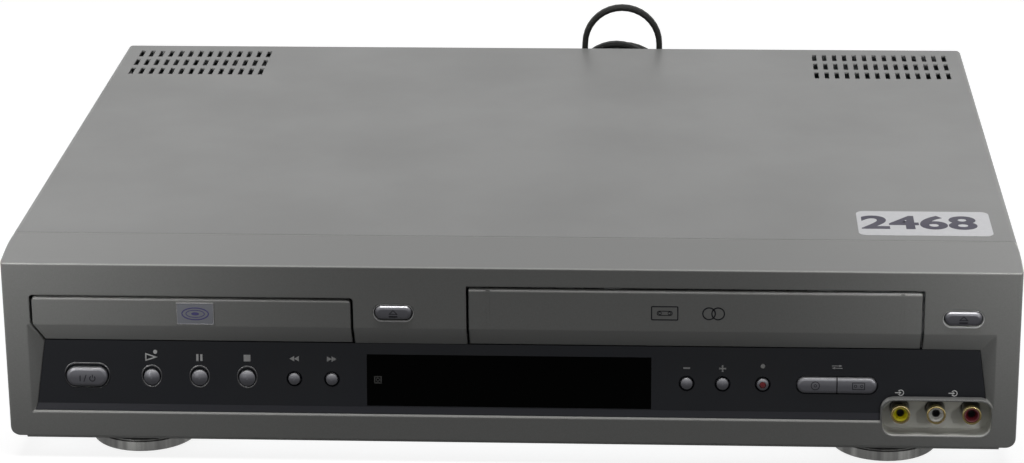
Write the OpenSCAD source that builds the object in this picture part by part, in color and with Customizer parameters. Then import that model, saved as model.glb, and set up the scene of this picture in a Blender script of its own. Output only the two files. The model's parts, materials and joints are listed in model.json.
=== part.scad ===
// Disc player and tape recorder in one case, in millimetres.
// Case coordinates: X from the case's centre, Y back from the front plane, Z up from the
// bottom edge of the bezel's face. in_case() carries them to the part's own frame, whose
// origin lies under the case's centre on the surface that the feet stand on.

/* [Case] */
// Width over the sides
body_w = 430; // [428:1:470]
// Depth from the front plane to the cover's back edge
body_d = 325; // [325:1:390]
// Height of the case above the bottom edge of its face
body_h = 83; // [83:0.5:100]
// Height of the feet under that edge
foot_h = 10; // [8:0.5:16]
// Thickness of the cover, chassis and rear panel
sheet = 1; // [0.8:0.1:1.2]
// Outer radius of the cover's folds
fold_r = 2.5; // [1.8:0.1:4]
// Radius of the front feet
front_foot_r = 23; // [16:0.5:26]
// Radius of the rear feet
rear_foot_r = 14; // [12:0.5:20]
// Distance of the feet from the case's centre line
foot_x = 161; // [120:1:185]
// Slots across in each group of vents
vent_cols = 14; // [4:1:16]
// Rows in each group of vents
vent_rows = 3; // [1:1:4]

/* [Bezel] */
// Depth of the bezel along its top
bezel_d = 27.5; // [24:0.5:36]
// Fall of the bezel's top from the cover to the front edge
bezel_fall = 4.5; // [1:0.5:6]
// Wall of the bezel
bezel_t = 2.5; // [2:0.1:2.8]
// Height of the crease where the face starts to slope back
crease_z = 51; // [48:0.5:54]
// Height of the control panel's upper edge
panel_top_z = 42; // [40:0.5:43]
// Height of the control panel's lower edge
panel_low_z = 14.3; // [12.5:0.1:16]
// Depth of the panel's upper edge behind the front plane
panel_top_y = 6; // [3:0.5:7]
// Depth of the panel's lower edge behind the front plane
panel_low_y = 2.2; // [0.8:0.1:2.5]
// Width of the face outside each end of the recess
recess_margin = 10; // [9:0.1:14]
// Thickness of the control panel
panel_t = 2.5; // [2:0.1:3]
// Gap between the display window and the nearest buttons
window_gap = 15; // [12:0.5:24]
// Height of the display window
window_h = 22.4; // [14:0.2:23]

/* [Doors] */
// Width of the disc tray's door
tray_door_w = 135.8; // [134:0.1:138]
// Width of the face to the left of the disc tray's door
tray_margin = 12.6; // [11.5:0.1:16]
// Height of the tray door's top edge
tray_door_top = 63.3; // [62:0.1:66]
// Width of the cassette door
tape_door_w = 190; // [190:0.1:194]
// Width of the face to the right of the cassette door
tape_margin = 41.5; // [38:0.1:46]
// Height of the cassette door's top edge
tape_door_top = 69.1; // [69:0.1:71]
// Black gap around both doors
door_gap = 1.1; // [0.8:0.1:1.5]

/* [Buttons] */
// Travel of every button
button_travel = 0.8; // [0.4:0.1:1]
// Gap around a button's cap
button_gap = 0.35; // [0.25:0.05:0.5]
// Bevel around the hole of every button but the select pair
button_bevel = 0.55; // [0.3:0.05:0.8]
// Height of the row of buttons on the control panel
button_z = 26.1; // [25:0.1:28]
// Diameter of the play, pause and stop buttons
large_d = 6.9; // [6:0.1:9]
// Diameter of the small round buttons
small_d = 5; // [4.5:0.1:6]
// Width of the power button
power_w = 18; // [12:0.1:22]
// Height of the power button
power_h = 8.5; // [7:0.1:10]
// Width of the pair of select buttons
select_w = 34; // [26:0.5:35]
// Height of the select buttons
select_h = 7; // [6:0.1:8.5]
// Width of the eject buttons
eject_w = 15.8; // [12:0.1:18]
// Height of the eject buttons
eject_h = 6; // [5:0.5:8]
// How far the eject buttons stand out of the face
eject_proud = 1.2; // [0.9:0.1:1.6]

/* [Sockets] */
// Width of the pocket for the front sockets
pocket_w = 46; // [42:0.1:46]
// Height of the pocket
pocket_h = 15.8; // [14:0.1:17]
// Depth of the pocket
pocket_d = 9.2; // [8:0.1:10]
// Distance from one front socket to the next
jack_pitch = 15; // [13:0.1:15.5]
// Outer radius of a socket's shell
jack_r = 4; // [4:0.05:4.3]
// Wall of a socket's shell
jack_wall = 0.7; // [0.6:0.05:1]
// Radius of a socket's centre contact hole
jack_bore_r = 1.6; // [1.5:0.05:1.8]
// How far a socket's shell stands out of its wall
jack_reach = 8.6; // [7.5:0.1:8.6]

/* [Disc drive] */
// Width of the tray without its side runners
tray_w = 126; // [124:0.5:127]
// Length of the tray
tray_len = 177; // [176:1:182]
// Height of the tray's rim
tray_top_z = 54.5; // [54:0.1:54.8]
// Radius of the recess for a disc
disc_r = 60.5; // [60.5:0.1:61]
// Distance of the turntable behind the front plane
disc_y = 76; // [74:0.5:78]
// Travel of the tray
tray_travel = 140; // [120:1:140]
// Radius of the turntable
turntable_r = 15; // [12:0.5:16]
// Module of the tray's rack and gears
tooth_module = 1.5; // [1.5:0.1:1.5]
// Teeth of the tray gear
tray_gear_teeth = 16; // [14:2:16]
// Teeth of the motor's pinion
pinion_teeth = 12; // [12:2:14]
// Travel of the pickup sled
sled_travel = 34; // [28:1:36]
// Radius of the sled's guide rods
rod_r = 1.5; // [1:0.1:2]

/* [Tape deck] */
// Distance from one reel to the other
reel_pitch = 92; // [91:0.5:93]
// Radius of the head drum
drum_r = 31; // [30:0.5:31]
// Tilt of the head drum in degrees
drum_tilt = 5; // [0:0.5:6]
// Width between the holder's sides
holder_w = 189.2; // [189:0.1:189.4]
// Depth of the cassette holder
holder_d = 56; // [50:1:58]
// Height between the holder's ledges and its top
holder_h = 25.5; // [25.2:0.1:25.5]
// How far the holder carries a cassette in
holder_in = 62; // [55:1:62]
// How far the holder then drops
holder_drop = 20; // [14:1:20]
// Radius of the pinch roller
roller_r = 8; // [6:0.5:8]
// Radius of the capstan
capstan_r = 1.5; // [1.2:0.1:2]

/* [Mains lead] */
// Width of the flat twin lead
lead_w = 5.6; // [5:0.1:6]
// Thickness of the flat twin lead
lead_t = 3.2; // [3:0.1:4]
// Thickness of the tied coil, front to back
coil_depth = 17.8; // [17:0.1:20]
// Outer radius of the coil's round ends
coil_r = 25.7; // [24:0.1:27]
// Thickness of the coil's ring
coil_ring = 10.4; // [10:0.1:12]

/* [Hidden] */
$fn = 48;
tiny = 0.05;
fit_gap = 0.1;
run_gap = 0.05;
seat_gap = 0.2;

silver = [0.50, 0.50, 0.49];
face_grey = [0.36, 0.36, 0.35];
panel_dark = [0.13, 0.13, 0.15];
button_grey = [0.52, 0.52, 0.56];
steel = [0.68, 0.69, 0.70];
board_green = [0.12, 0.32, 0.18];
black_plastic = [0.06, 0.06, 0.07];
gold = [0.80, 0.65, 0.28];

// ---- heights and depths that follow from the sizes above ----
pan_z = -1.2;                          // underside of the chassis pan
pan_top = pan_z + sheet;
left_x = -body_w / 2;
right_x = body_w / 2;
side_in = right_x - sheet;             // inner face of the cover's sides
rear_y = body_d - sheet - seat_gap;    // outer face of the rear panel
front_y = -(rear_y + jack_reach - eject_proud) / 2;
recess_half = body_w / 2 - recess_margin;
ledge_z = panel_low_z - 2.8;             // lower edge of the recess
ledge_bevel = 0.7;                     // its bevel
edge_r = 0.7;                          // rounding of the bezel's edges
panel_slope = (panel_top_y - panel_low_y) / (panel_top_z - panel_low_z);
panel_tilt = atan(panel_slope);
door_low = panel_top_z + 0.4;          // lower edge of both doors
door_t = 2.2;
tray_door_x = left_x + tray_margin + tray_door_w / 2;
tape_door_x = right_x - tape_margin - tape_door_w / 2;

function bezel_top(y) = body_h - bezel_fall * (1 - y / bezel_d);
function panel_y(z) = panel_low_y + (z - panel_low_z) * panel_slope;
function slope_y(z) = max(0, (crease_z - z) * panel_top_y / (crease_z - panel_top_z));

module in_case() { translate([0, front_y, foot_h]) children(); }
// A [y, z] outline, extruded along X about x
module along_x(x, w) {
    translate([x, 0, 0]) rotate([90, 0, 90]) linear_extrude(w, center = true) children();
}
// An [x, z] outline, extruded along Y from y0 to y1
module along_y(y0, y1) {
    translate([0, y1, 0]) rotate([90, 0, 0]) linear_extrude(y1 - y0) children();
}
// A box between two corners
module block(low, high) { translate(low) cube(high - low); }
// A post along Z
module post(x, y, z0, z1, r) { translate([x, y, z0]) cylinder(r = r, h = z1 - z0); }
// A post along Y
module rod_y(x, y0, y1, z, r) {
    translate([x, y0, z]) rotate([-90, 0, 0]) cylinder(r = r, h = y1 - y0);
}
// A post along X
module rod_x(x0, x1, y, z, r) {
    translate([x0, y, z]) rotate([0, 90, 0]) cylinder(r = r, h = x1 - x0);
}
// A flat rectangle with one radius for its lower and one for its upper corners
module soft_rect(x0, x1, z0, z1, r_low, r_top) {
    for (x = [x0, x1], low = [true, false]) {
        r = low ? r_low : r_top;
        at_x = x == x0 ? x0 + r : x1 - r;
        at_z = low ? z0 + r : z1 - r;
        if (r > 0) translate([at_x, at_z]) circle(r);
    }
    translate([x0, z0 + r_low]) square([x1 - x0, z1 - z0 - r_low - r_top]);
    translate([x0 + r_low, z0]) square([x1 - x0 - 2 * r_low, r_low + tiny]);
    translate([x0 + r_top, z1 - r_top - tiny]) square([x1 - x0 - 2 * r_top, r_top + tiny]);
}
// A flat outline with round ends, w across and h high
module stadium(w, h) { soft_rect(-w / 2, w / 2, -h / 2, h / 2, h / 2 - 0.01, h / 2 - 0.01); }
// Children stand on the control panel at x, with +Z out of it and +Y up it
module on_panel(x) {
    translate([x, panel_y(button_z), button_z]) rotate([90 - panel_tilt, 0, 0]) children();
}
// Children stand on the front face at x and z, with +Z out of it and +Y up
module on_face(x, z) { translate([x, 0, z]) rotate([90, 0, 0]) children(); }

// ================================ case ================================
vent_pitch = 5.04;
vent_row_pitch = 15.9;
vent_out_x = body_w / 2 - 9.8;
vent_y = body_d - 15;
side_screw_y = 180;
side_screw_z = 12;
rear_screw_x = right_x - 35;
foot_screw_x = right_x - 15;
foot_screw_z = 4;
screw_r = 1.5;
screw_head_r = 3.2;

module top_cover() {
    color(silver) in_case() difference() {
        union() {
            difference() {
                along_y(bezel_d + seat_gap, body_d)
                    soft_rect(-body_w / 2, body_w / 2, pan_z + seat_gap, body_h, 0, fold_r);
                along_y(bezel_d - 1, body_d + 1)
                    soft_rect(-side_in, side_in, pan_z - 1, body_h - sheet, 0, fold_r - sheet);
            }
            // flange folded down at the back
            block([-side_in + 4, body_d - sheet, body_h - 11], [side_in - 4, body_d, body_h - sheet / 2]);
        }
        for (side = [-1, 1], i = [0:vent_cols - 1], j = [0:vent_rows - 1])
            translate([side * (vent_out_x - i * vent_pitch), vent_y - j * vent_row_pitch, body_h])
                cube([2.2, 11, 4 * sheet], center = true);
        for (x = [-rear_screw_x, 0, rear_screw_x])
            rod_y(x, body_d - 3, body_d + 1, body_h - 6, screw_r + fit_gap);
        rod_x(-body_w, body_w, side_screw_y, side_screw_z, screw_r + fit_gap);
    }
}

flange_x = side_in - seat_gap;
flange_h = 24;
board_z = 8;
board_gap_y = 7.8;                     // from the boards to the rear panel
post_in = 8;                           // from a board's edge to its posts
main_low = [left_x + 10, 196];
main_high = [left_x + 185, rear_y - board_gap_y];
power_low = [main_high[0] + 10, 250];
power_high = [right_x - 9, rear_y - board_gap_y];
function corners(low, high) = [for (x = [low[0] + post_in, high[0] - post_in],
                                    y = [low[1] + post_in, high[1] - post_in]) [x, y]];
board_posts = concat(corners(main_low, main_high), corners(power_low, power_high));

module base_chassis() {
    color(steel) in_case() difference() {
        union() {
            block([-flange_x, bezel_d + 1, pan_z], [flange_x, rear_y - sheet - seat_gap, pan_top]);
            // tongue under the bezel
            block([-flange_x + 6, 8, pan_z], [flange_x - 6, bezel_d + 2, pan_top]);
            for (side = [-1, 1])
                block([side * flange_x - (side > 0 ? sheet : 0), bezel_d + 1, pan_z],
                      [side * flange_x + (side > 0 ? 0 : sheet), rear_y - sheet - seat_gap, flange_h]);
            // flange along the back
            block([-flange_x, rear_y - 2 * sheet - seat_gap, pan_z],
                  [flange_x, rear_y - sheet - seat_gap, 8]);
            for (p = board_posts) post(p[0], p[1], pan_z, board_z, 3);
        }
        rod_x(-body_w, body_w, side_screw_y, side_screw_z, screw_r + fit_gap);
        for (x = [-foot_screw_x, foot_screw_x])
            rod_y(x, body_d - 8, body_d, foot_screw_z, screw_r + fit_gap);
        // air slots under the power board
        for (i = [0:11])
            block([power_low[0] + 40 + 9 * i, power_low[1] + 14, pan_z - 1],
                  [power_low[0] + 43 + 9 * i, power_high[1] - 14, pan_top + 1]);
    }
}

relief_x = 110;
relief_z = 15;
relief_r = 5;
coax_x = [left_x + 23, left_x + 43];
coax_z = 24;
scart_x = left_x + 89;
scart_z = [22, 44];
scart_w = 52;
scart_h = 16;
audio_x = [left_x + 131, left_x + 147];
video_x = [left_x + 165, left_x + 179];
socket_z = [22, 40];
coax_r = 4.7;
coax_wall = 1;
rear_video = [for (x = video_x) [x, socket_z[0]]];
rear_left = [for (x = audio_x) [x, socket_z[1]]];
rear_right = [for (x = audio_x) [x, socket_z[0]]];
rear_jacks = concat(rear_video, rear_left, rear_right);

module rear_cutouts(grow) {
    for (x = coax_x) rod_y(x, rear_y - 4, rear_y + 1, coax_z, coax_r + grow);
    for (z = scart_z)
        block([scart_x - scart_w / 2 - grow, rear_y - 4, z - scart_h / 2 - grow],
              [scart_x + scart_w / 2 + grow, rear_y + 1, z + scart_h / 2 + grow]);
    for (p = rear_jacks) rod_y(p[0], rear_y - 4, rear_y + 1, p[1], jack_r + grow);
}

module rear_panel() {
    color(steel) in_case() difference() {
        along_y(rear_y - sheet, rear_y)
            soft_rect(-flange_x, flange_x, pan_z, body_h - sheet - seat_gap, 0, fold_r);
        rear_cutouts(fit_gap);
        rod_y(relief_x, rear_y - 4, rear_y + 1, relief_z, relief_r + fit_gap);
        for (x = [-rear_screw_x, 0, rear_screw_x])
            rod_y(x, rear_y - 4, rear_y + 1, body_h - 6, screw_r + fit_gap);
        for (x = [-foot_screw_x, foot_screw_x])
            rod_y(x, rear_y - 4, rear_y + 1, foot_screw_z, screw_r + fit_gap);
        // air slots
        for (i = [0:15])
            block([power_low[0] + 30 + 6 * i, rear_y - 4, 40],
                  [power_low[0] + 32.5 + 6 * i, rear_y + 1, 64]);
    }
}

module screw(len) {
    difference() {
        union() {
            cylinder(r = screw_r, h = len);
            translate([0, 0, -1.6]) cylinder(r1 = screw_head_r - 0.8, r2 = screw_head_r, h = 1.6);
        }
        for (a = [0, 90]) rotate(a) translate([0, 0, -1.2]) cube([3.6, 0.7, 1.2], center = true);
    }
}

module case_screws() {
    color(steel) in_case() {
        for (x = [-rear_screw_x, 0, rear_screw_x])
            translate([x, body_d, body_h - 6]) rotate([90, 0, 0]) screw(5);
        for (x = [-foot_screw_x, foot_screw_x])
            translate([x, rear_y, foot_screw_z]) rotate([90, 0, 0]) screw(5);
        translate([-body_w / 2, side_screw_y, side_screw_z]) rotate([0, 90, 0]) screw(5);
        translate([body_w / 2, side_screw_y, side_screw_z]) rotate([0, -90, 0]) screw(5);
    }
}

foot_front_y = 29;
foot_rear_y = body_d - 40;
pad_in = 0.8;
pad_out = 0.4;
module each_foot() {
    for (side = [-1, 1]) {
        translate([side * foot_x, foot_front_y, pan_z]) downwards() children(0);
        translate([side * foot_x, foot_rear_y, pan_z]) downwards() children(1);
    }
}
module downwards() { mirror([0, 0, 1]) children(); }
// A foot drawn downwards: neck, collar, groove and ring, with a recess for its pad
module foot(r) {
    h = foot_h + pan_z - pad_out;
    difference() {
        union() {
            cylinder(r = r - 5, h = h);
            translate([0, 0, 2.6]) cylinder(r1 = r - 1.2, r2 = r - 0.4, h = 0.8);
            translate([0, 0, 3.4]) cylinder(r = r - 1, h = 1);
            translate([0, 0, 3.9]) cylinder(r = r, h = h - 4.5);
            translate([0, 0, h - 0.6]) cylinder(r1 = r, r2 = r - 0.6, h = 0.6);
        }
        translate([0, 0, h - pad_in]) cylinder(r = r - 5, h = 2);
    }
}
module foot_pad(r) {
    translate([0, 0, foot_h + pan_z - pad_out - pad_in])
        cylinder(r = r - 5 - fit_gap, h = pad_in + pad_out);
}
module foot_bodies() {
    color(silver) in_case() each_foot() {
        foot(front_foot_r);
        foot(rear_foot_r);
    }
}
module foot_pads() {
    color(black_plastic) in_case() each_foot() {
        foot_pad(front_foot_r);
        foot_pad(rear_foot_r);
    }
}

// ================================ bezel ================================
tray_left = tray_door_x - tray_door_w / 2;
tray_right = tray_door_x + tray_door_w / 2;
tray_cut = 4;                  // the door's lower left corner follows the recess
tape_left = tape_door_x - tape_door_w / 2;
tape_right = tape_door_x + tape_door_w / 2;
pivot_y = 5;                   // axis of the cassette door
pivot_z = tape_door_top + 4.1;
pivot_r = 1.2;
ear_t = 1.6;
ear_gap = 0.4;
eject_z = 58.2;
disc_eject_x = tray_right + 18.2;
tape_eject_x = tape_right + 17.3;
pocket_x = right_x - recess_margin - 0.75 - pocket_w / 2;
pocket_z = 12.9;
pocket_r = 5;
pocket_rim = 0.8;
jack_z = 14.2;
jack_x = [for (i = [-1:1]) pocket_x - 0.2 + i * jack_pitch];
// the round buttons' distances from the two sides
left_buttons = [61.9, 82.5, 103, 123.2, 139.3];
right_buttons = [139.5, 124.3, 107.3];
button_x = concat([for (d = left_buttons) left_x + d], [for (d = right_buttons) right_x - d]);
power_x = left_x + 34;
select_x = right_x - 76;
window_left = button_x[4] + window_gap;
window_right = button_x[5] - window_gap;
board_posts_x = [left_x + 25, left_x + 113.5, left_x + 149, right_x - 149, right_x - 115.8, right_x - 99];
board_gap = 13;                // from the panel's face to the front board
eject_board_y = 18;
lip_in = 7;

module pocket_outline(grow) {
    soft_rect(pocket_x - pocket_w / 2 - grow, pocket_x + pocket_w / 2 + grow,
              pocket_z - pocket_h / 2 - grow, pocket_z + pocket_h / 2 + grow,
              pocket_r + grow, pocket_r + grow);
}

// The block of the bezel: its side view, its front view and its plan, all at once
module bezel_block() {
    intersection() {
        along_x(0, body_w) union() {
            polygon([[edge_r, 0], [edge_r, bezel_top(edge_r)], [bezel_d, body_h], [bezel_d, 0]]);
            square([edge_r + tiny, bezel_top(edge_r) - edge_r]);
            translate([edge_r, bezel_top(edge_r) - edge_r]) circle(edge_r);
        }
        along_y(-1, bezel_d + 1) soft_rect(-body_w / 2, body_w / 2, 0, body_h, 4.5, fold_r);
        linear_extrude(body_h) soft_rect(-body_w / 2, body_w / 2, 0, bezel_d, 1.4, 0);
    }
}

// Inside of the bezel, one wall behind its outer faces
module bezel_inside() {
    back = bezel_t + panel_t;
    along_x(0, body_w - 2 * bezel_t) polygon([
        [bezel_d + 1, 2], [bezel_t, 2], [bezel_t, ledge_z],
        [panel_y(panel_top_z) + back, panel_top_z], [panel_top_y + back, panel_top_z + 1.5],
        [bezel_t, crease_z + 1], [bezel_t, bezel_top(bezel_t) - bezel_t],
        [bezel_d + 1, body_h - bezel_t]
    ]);
}

// The slanting walls of the recess, seen from above
module recess_plan(grow) {
    half = recess_half + grow;
    linear_extrude(body_h)
        polygon([[-half - 1, -1], [half + 1, -1], [half - 12, 12], [12 - half, 12]]);
}

// The recess in front of the panel
module recess() {
    intersection() {
        along_x(0, body_w) polygon([
            [-1, crease_z], [0, crease_z], [panel_top_y, panel_top_z],
            [panel_low_y, panel_low_z], [ledge_bevel, ledge_z], [0, ledge_z - ledge_bevel],
            [-1, ledge_z - ledge_bevel]
        ]);
        recess_plan(0);
    }
}

// Outline of the control panel, seen from the front
module panel_outline(shrink) {
    top = recess_half - panel_top_y - shrink;
    low = recess_half - panel_low_y - shrink;
    polygon([
        [-top, panel_top_z - shrink], [top, panel_top_z - shrink],
        [low, panel_low_z], [low + 1, ledge_z + shrink],
        [-low - 1, ledge_z + shrink], [-low, panel_low_z]
    ]);
}

module tray_outline(grow) {
    left = tray_left - grow;
    difference() {
        soft_rect(left, tray_right + grow, (grow > 0 ? panel_top_z : door_low),
                  tray_door_top + grow, 0, 1.6);
        polygon([[left - 1, crease_z + 0.8], [left, crease_z + 0.8], [left + tray_cut, door_low],
                 [left + tray_cut, door_low - 5], [left - 1, door_low - 5]]);
    }
}

module tape_outline(grow) {
    soft_rect(tape_left - grow, tape_right + grow, (grow > 0 ? panel_top_z : door_low),
              tape_door_top + grow, 0, 0.8);
}

// Bevel around the mouth of a hole w across and h high with round ends
module hole_mouth(w, h) {
    deep = button_bevel + 1;
    translate([0, 0, -button_bevel]) {
        for (side = w > h ? [-1, 1] : [0])
            translate([side * (w - h) / 2, 0, 0]) cylinder(r1 = h / 2, r2 = h / 2 + deep, h = deep);
        if (w > h) rotate([90, 0, 90]) linear_extrude(w - h, center = true)
            polygon([[-h / 2, 0], [h / 2, 0], [h / 2 + deep, deep], [-h / 2 - deep, deep]]);
    }
}

module front_bezel() {
    color(face_grey) in_case() difference() {
        union() {
            difference() {
                bezel_block();
                bezel_inside();
                recess();
                along_y(-1, 14) panel_outline(0);
            }
            // lip under the face
            block([lip_in - body_w / 2, edge_r + 0.5, pan_z], [body_w / 2 - lip_in, 7.8, tiny]);
            // wall around the socket pocket
            intersection() {
                along_y(0, pocket_d + bezel_t) pocket_outline(pocket_rim);
                along_x(0, body_w) translate([0, 1]) square([40, 40]);
            }
            along_y(0, 2) pocket_outline(pocket_rim);
            // ears for the cassette door's pins
            for (side = [-1, 1])
                along_x(tape_door_x + side * (tape_door_w / 2 + door_gap + ear_gap + ear_t / 2), ear_t)
                    polygon([[bezel_t - tiny, 66], [pivot_y + 3, pivot_z - 3], [pivot_y + 3, pivot_z + 3],
                             [bezel_t - tiny, pivot_z + 3]]);
            // posts for the two small boards behind the eject buttons
            for (x = [disc_eject_x, tape_eject_x], z = [eject_z - 7.3, eject_z + 7.3])
                rod_y(x, 1, eject_board_y, z, 1.6);
        }
        along_y(-1, pocket_d) pocket_outline(0);
        for (x = jack_x) rod_y(x, pocket_d - 1, pocket_d + bezel_t + 1, jack_z, jack_r + fit_gap);
        along_y(-1, 14) tray_outline(door_gap);
        along_y(-1, 14) tape_outline(door_gap);
        for (x = [disc_eject_x, tape_eject_x])
            on_face(x, eject_z) {
                translate([0, 0, -4]) linear_extrude(6)
                    stadium(eject_w + 2 * button_gap, eject_h + 2 * button_gap);
                hole_mouth(eject_w + 2 * button_gap, eject_h + 2 * button_gap);
            }
        rod_x(tape_left - 6, tape_right + 6, pivot_y, pivot_z, pivot_r + run_gap);
    }
}

// The panel's plate, between its face and its back; shift moves it back
module panel_slab(shift, thick) {
    along_x(0, body_w) polygon([
        [panel_top_y + shift, panel_top_z], [panel_low_y + shift, panel_low_z],
        [ledge_bevel + fit_gap + shift, ledge_z], [ledge_bevel + fit_gap + shift + thick, ledge_z],
        [panel_low_y + shift + thick, panel_low_z], [panel_top_y + shift + thick, panel_top_z]
    ]);
}

window_z = panel_low_z + 0.4 + window_h / 2;
module window_outline(grow) {
    translate([window_left - grow, window_z - window_h / 2 - grow])
        square([window_right - window_left + 2 * grow, window_h + 2 * grow]);
}

module control_panel() {
    color(panel_dark) in_case() difference() {
        union() {
            intersection() {
                panel_slab(0, panel_t);
                along_y(-1, 14) panel_outline(fit_gap);
            }
            // posts for the front board
            for (x = board_posts_x)
                on_panel(x) translate([0, -9, -board_gap]) cylinder(r = 2.2, h = board_gap - 1);
        }
        along_y(-1, 14) window_outline(0);
        along_y(-1, 14) pocket_outline(pocket_rim + fit_gap);
        for (i = [0:len(button_x) - 1]) on_panel(button_x[i]) {
            d = (i < 3 ? large_d : small_d) + 2 * button_gap;
            translate([0, 0, -6]) cylinder(d = d, h = 9);
            hole_mouth(d, d);
        }
        on_panel(power_x) {
            translate([0, 0, -6]) linear_extrude(9)
                stadium(power_w + 2 * button_gap, power_h + 2 * button_gap);
            hole_mouth(power_w + 2 * button_gap, power_h + 2 * button_gap);
        }
        on_panel(select_x) translate([0, 0, -6]) linear_extrude(9)
            stadium(select_w + 2 * button_gap, select_h + 2 * button_gap);
    }
}

module display_window() {
    color("black") in_case() {
        intersection() {
            panel_slab(0.05, panel_t);
            along_y(-1, 14) window_outline(-fit_gap);
        }
        // flange behind the panel
        intersection() {
            panel_slab(panel_t, 0.8);
            along_y(-1, 14) translate([window_left - 1.5, window_z - window_h / 2])
                square([window_right - window_left + 3, window_h + 1.5]);
        }
    }
}

// ================================ buttons ================================
switch_h = 3.5;
plunger_h = 0.9;
stem_gap = button_travel + 0.15;

// A cap that stands proud of its face and slides in a plate of thickness plate, with a flange
// behind the plate and a stem that ends just short of the switch at depth reach
module round_button(d, proud, plate, reach) {
    skirt = 0.8;
    dome_r = d * 0.85;
    intersection() {
        translate([0, 0, -plate - 0.6]) cylinder(d = d, h = plate + proud + 0.6);
        translate([0, 0, proud - dome_r]) sphere(r = dome_r, $fn = 96);
    }
    translate([0, 0, -plate - 1.4]) cylinder(r = d / 2 + button_gap + skirt, h = 1.2);
    stem(plate + 1, reach);
}
module stem(from, reach) {
    end = reach - switch_h - plunger_h - stem_gap;
    translate([0, 0, -end]) cylinder(r = 1.4, h = end - from);
}
// The same with round ends, w across and h high, with its front edge rounded off in two slopes
module long_button(w, h, proud, plate, reach) {
    low = [h / 2, proud - 1];
    mid = [h / 2 - 0.45, proud - 0.35];
    top = [h / 2 - 1.3, proud];
    side_view = [[-low[0], -plate - 0.6], [low[0], -plate - 0.6], low, mid, top,
                 [-top[0], top[1]], [-mid[0], mid[1]], [-low[0], low[1]]];
    rotate([90, 0, 90]) linear_extrude(w - h, center = true) polygon(side_view);
    for (side = [-1, 1]) translate([side * (w - h) / 2, 0, 0])
        rotate_extrude() polygon([[0, -plate - 0.6], [low[0], -plate - 0.6], low, mid, top, [0, proud]]);
    translate([0, 0, -plate - 1.4]) linear_extrude(1.2)
        stadium(w + 2 * button_gap + 1.4, h + 2 * button_gap + 1.4);
    stem(plate + 1, reach);
}

panel_proud = 1.5;
module panel_button(i) {
    color(button_grey) in_case() on_panel(button_x[i])
        round_button(i < 3 ? large_d : small_d, panel_proud, panel_t, board_gap);
}
module play_button() { panel_button(0); }
module pause_button() { panel_button(1); }
module stop_button() { panel_button(2); }
module rewind_button() { panel_button(3); }
module forward_button() { panel_button(4); }
module channel_down_button() { panel_button(5); }
module channel_up_button() { panel_button(6); }
module record_button() { panel_button(7); }
module power_button() {
    color(button_grey) in_case() on_panel(power_x)
        long_button(power_w, power_h, panel_proud, panel_t, board_gap);
}
// One half of the long outline that the two select buttons share
module select_half(side) {
    split = 0.4;
    color(button_grey) in_case() on_panel(select_x) {
        intersection() {
            difference() {
                long_button(select_w, select_h, panel_proud, panel_t, board_gap);
                translate([-2, -2, -20]) cube([4, 4, 20 - panel_t - 1.4]);
            }
            translate([side > 0 ? split / 2 : -select_w, -select_h, -5])
                cube([select_w - split / 2, 2 * select_h, 10]);
        }
        translate([side * select_w / 4, 0, 0]) stem(panel_t + 1, board_gap);
    }
}
module select_disc_button() { select_half(-1); }
module select_tape_button() { select_half(1); }
module eject_button(x) {
    color(button_grey) in_case() on_face(x, eject_z)
        long_button(eject_w, eject_h, eject_proud, bezel_t, eject_board_y);
}
module disc_eject_button() { eject_button(disc_eject_x); }
module tape_eject_button() { eject_button(tape_eject_x); }

// ================================ front electronics ================================
pcb_t = 1.6;
switch_x = concat(button_x, [power_x, select_x - select_w / 4, select_x + select_w / 4]);
jack_board_y = pocket_d + bezel_t + 4;

module tact_switch() {
    translate([-3, -3, -tiny]) cube([6, 6, switch_h + tiny]);
    cylinder(r = 1.7, h = switch_h + plunger_h);
}

module front_board() {
    color(board_green) in_case() {
        on_panel(left_x + 23) translate([0, -14, -board_gap - pcb_t]) cube([body_w - 84, 28.5, pcb_t]);
        for (x = switch_x) on_panel(x) translate([0, 0, -board_gap]) tact_switch();
        for (x = [disc_eject_x, tape_eject_x]) {
            block([x - 8.5, eject_board_y, eject_z - 9], [x + 8.5, eject_board_y + pcb_t, eject_z + 9]);
            on_face(x, eject_z) translate([0, 0, -eject_board_y]) tact_switch();
        }
        // small board of the front sockets
        block([pocket_x - 21, jack_board_y, 4], [pocket_x + 21, jack_board_y + pcb_t, 24]);
    }
}

module display_tube() {
    tube_w = window_right - window_left - 16;
    color("darkslategray") in_case() on_panel(window_left + 8) {
        translate([0, window_z - button_z - 9.5, -11.5]) cube([tube_w, 18, 6]);
        for (x = [4:4:tube_w - 4])
            translate([x - 0.25, window_z - button_z - 9, -board_gap]) cube([0.5, 0.6, 2]);
    }
}

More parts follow.
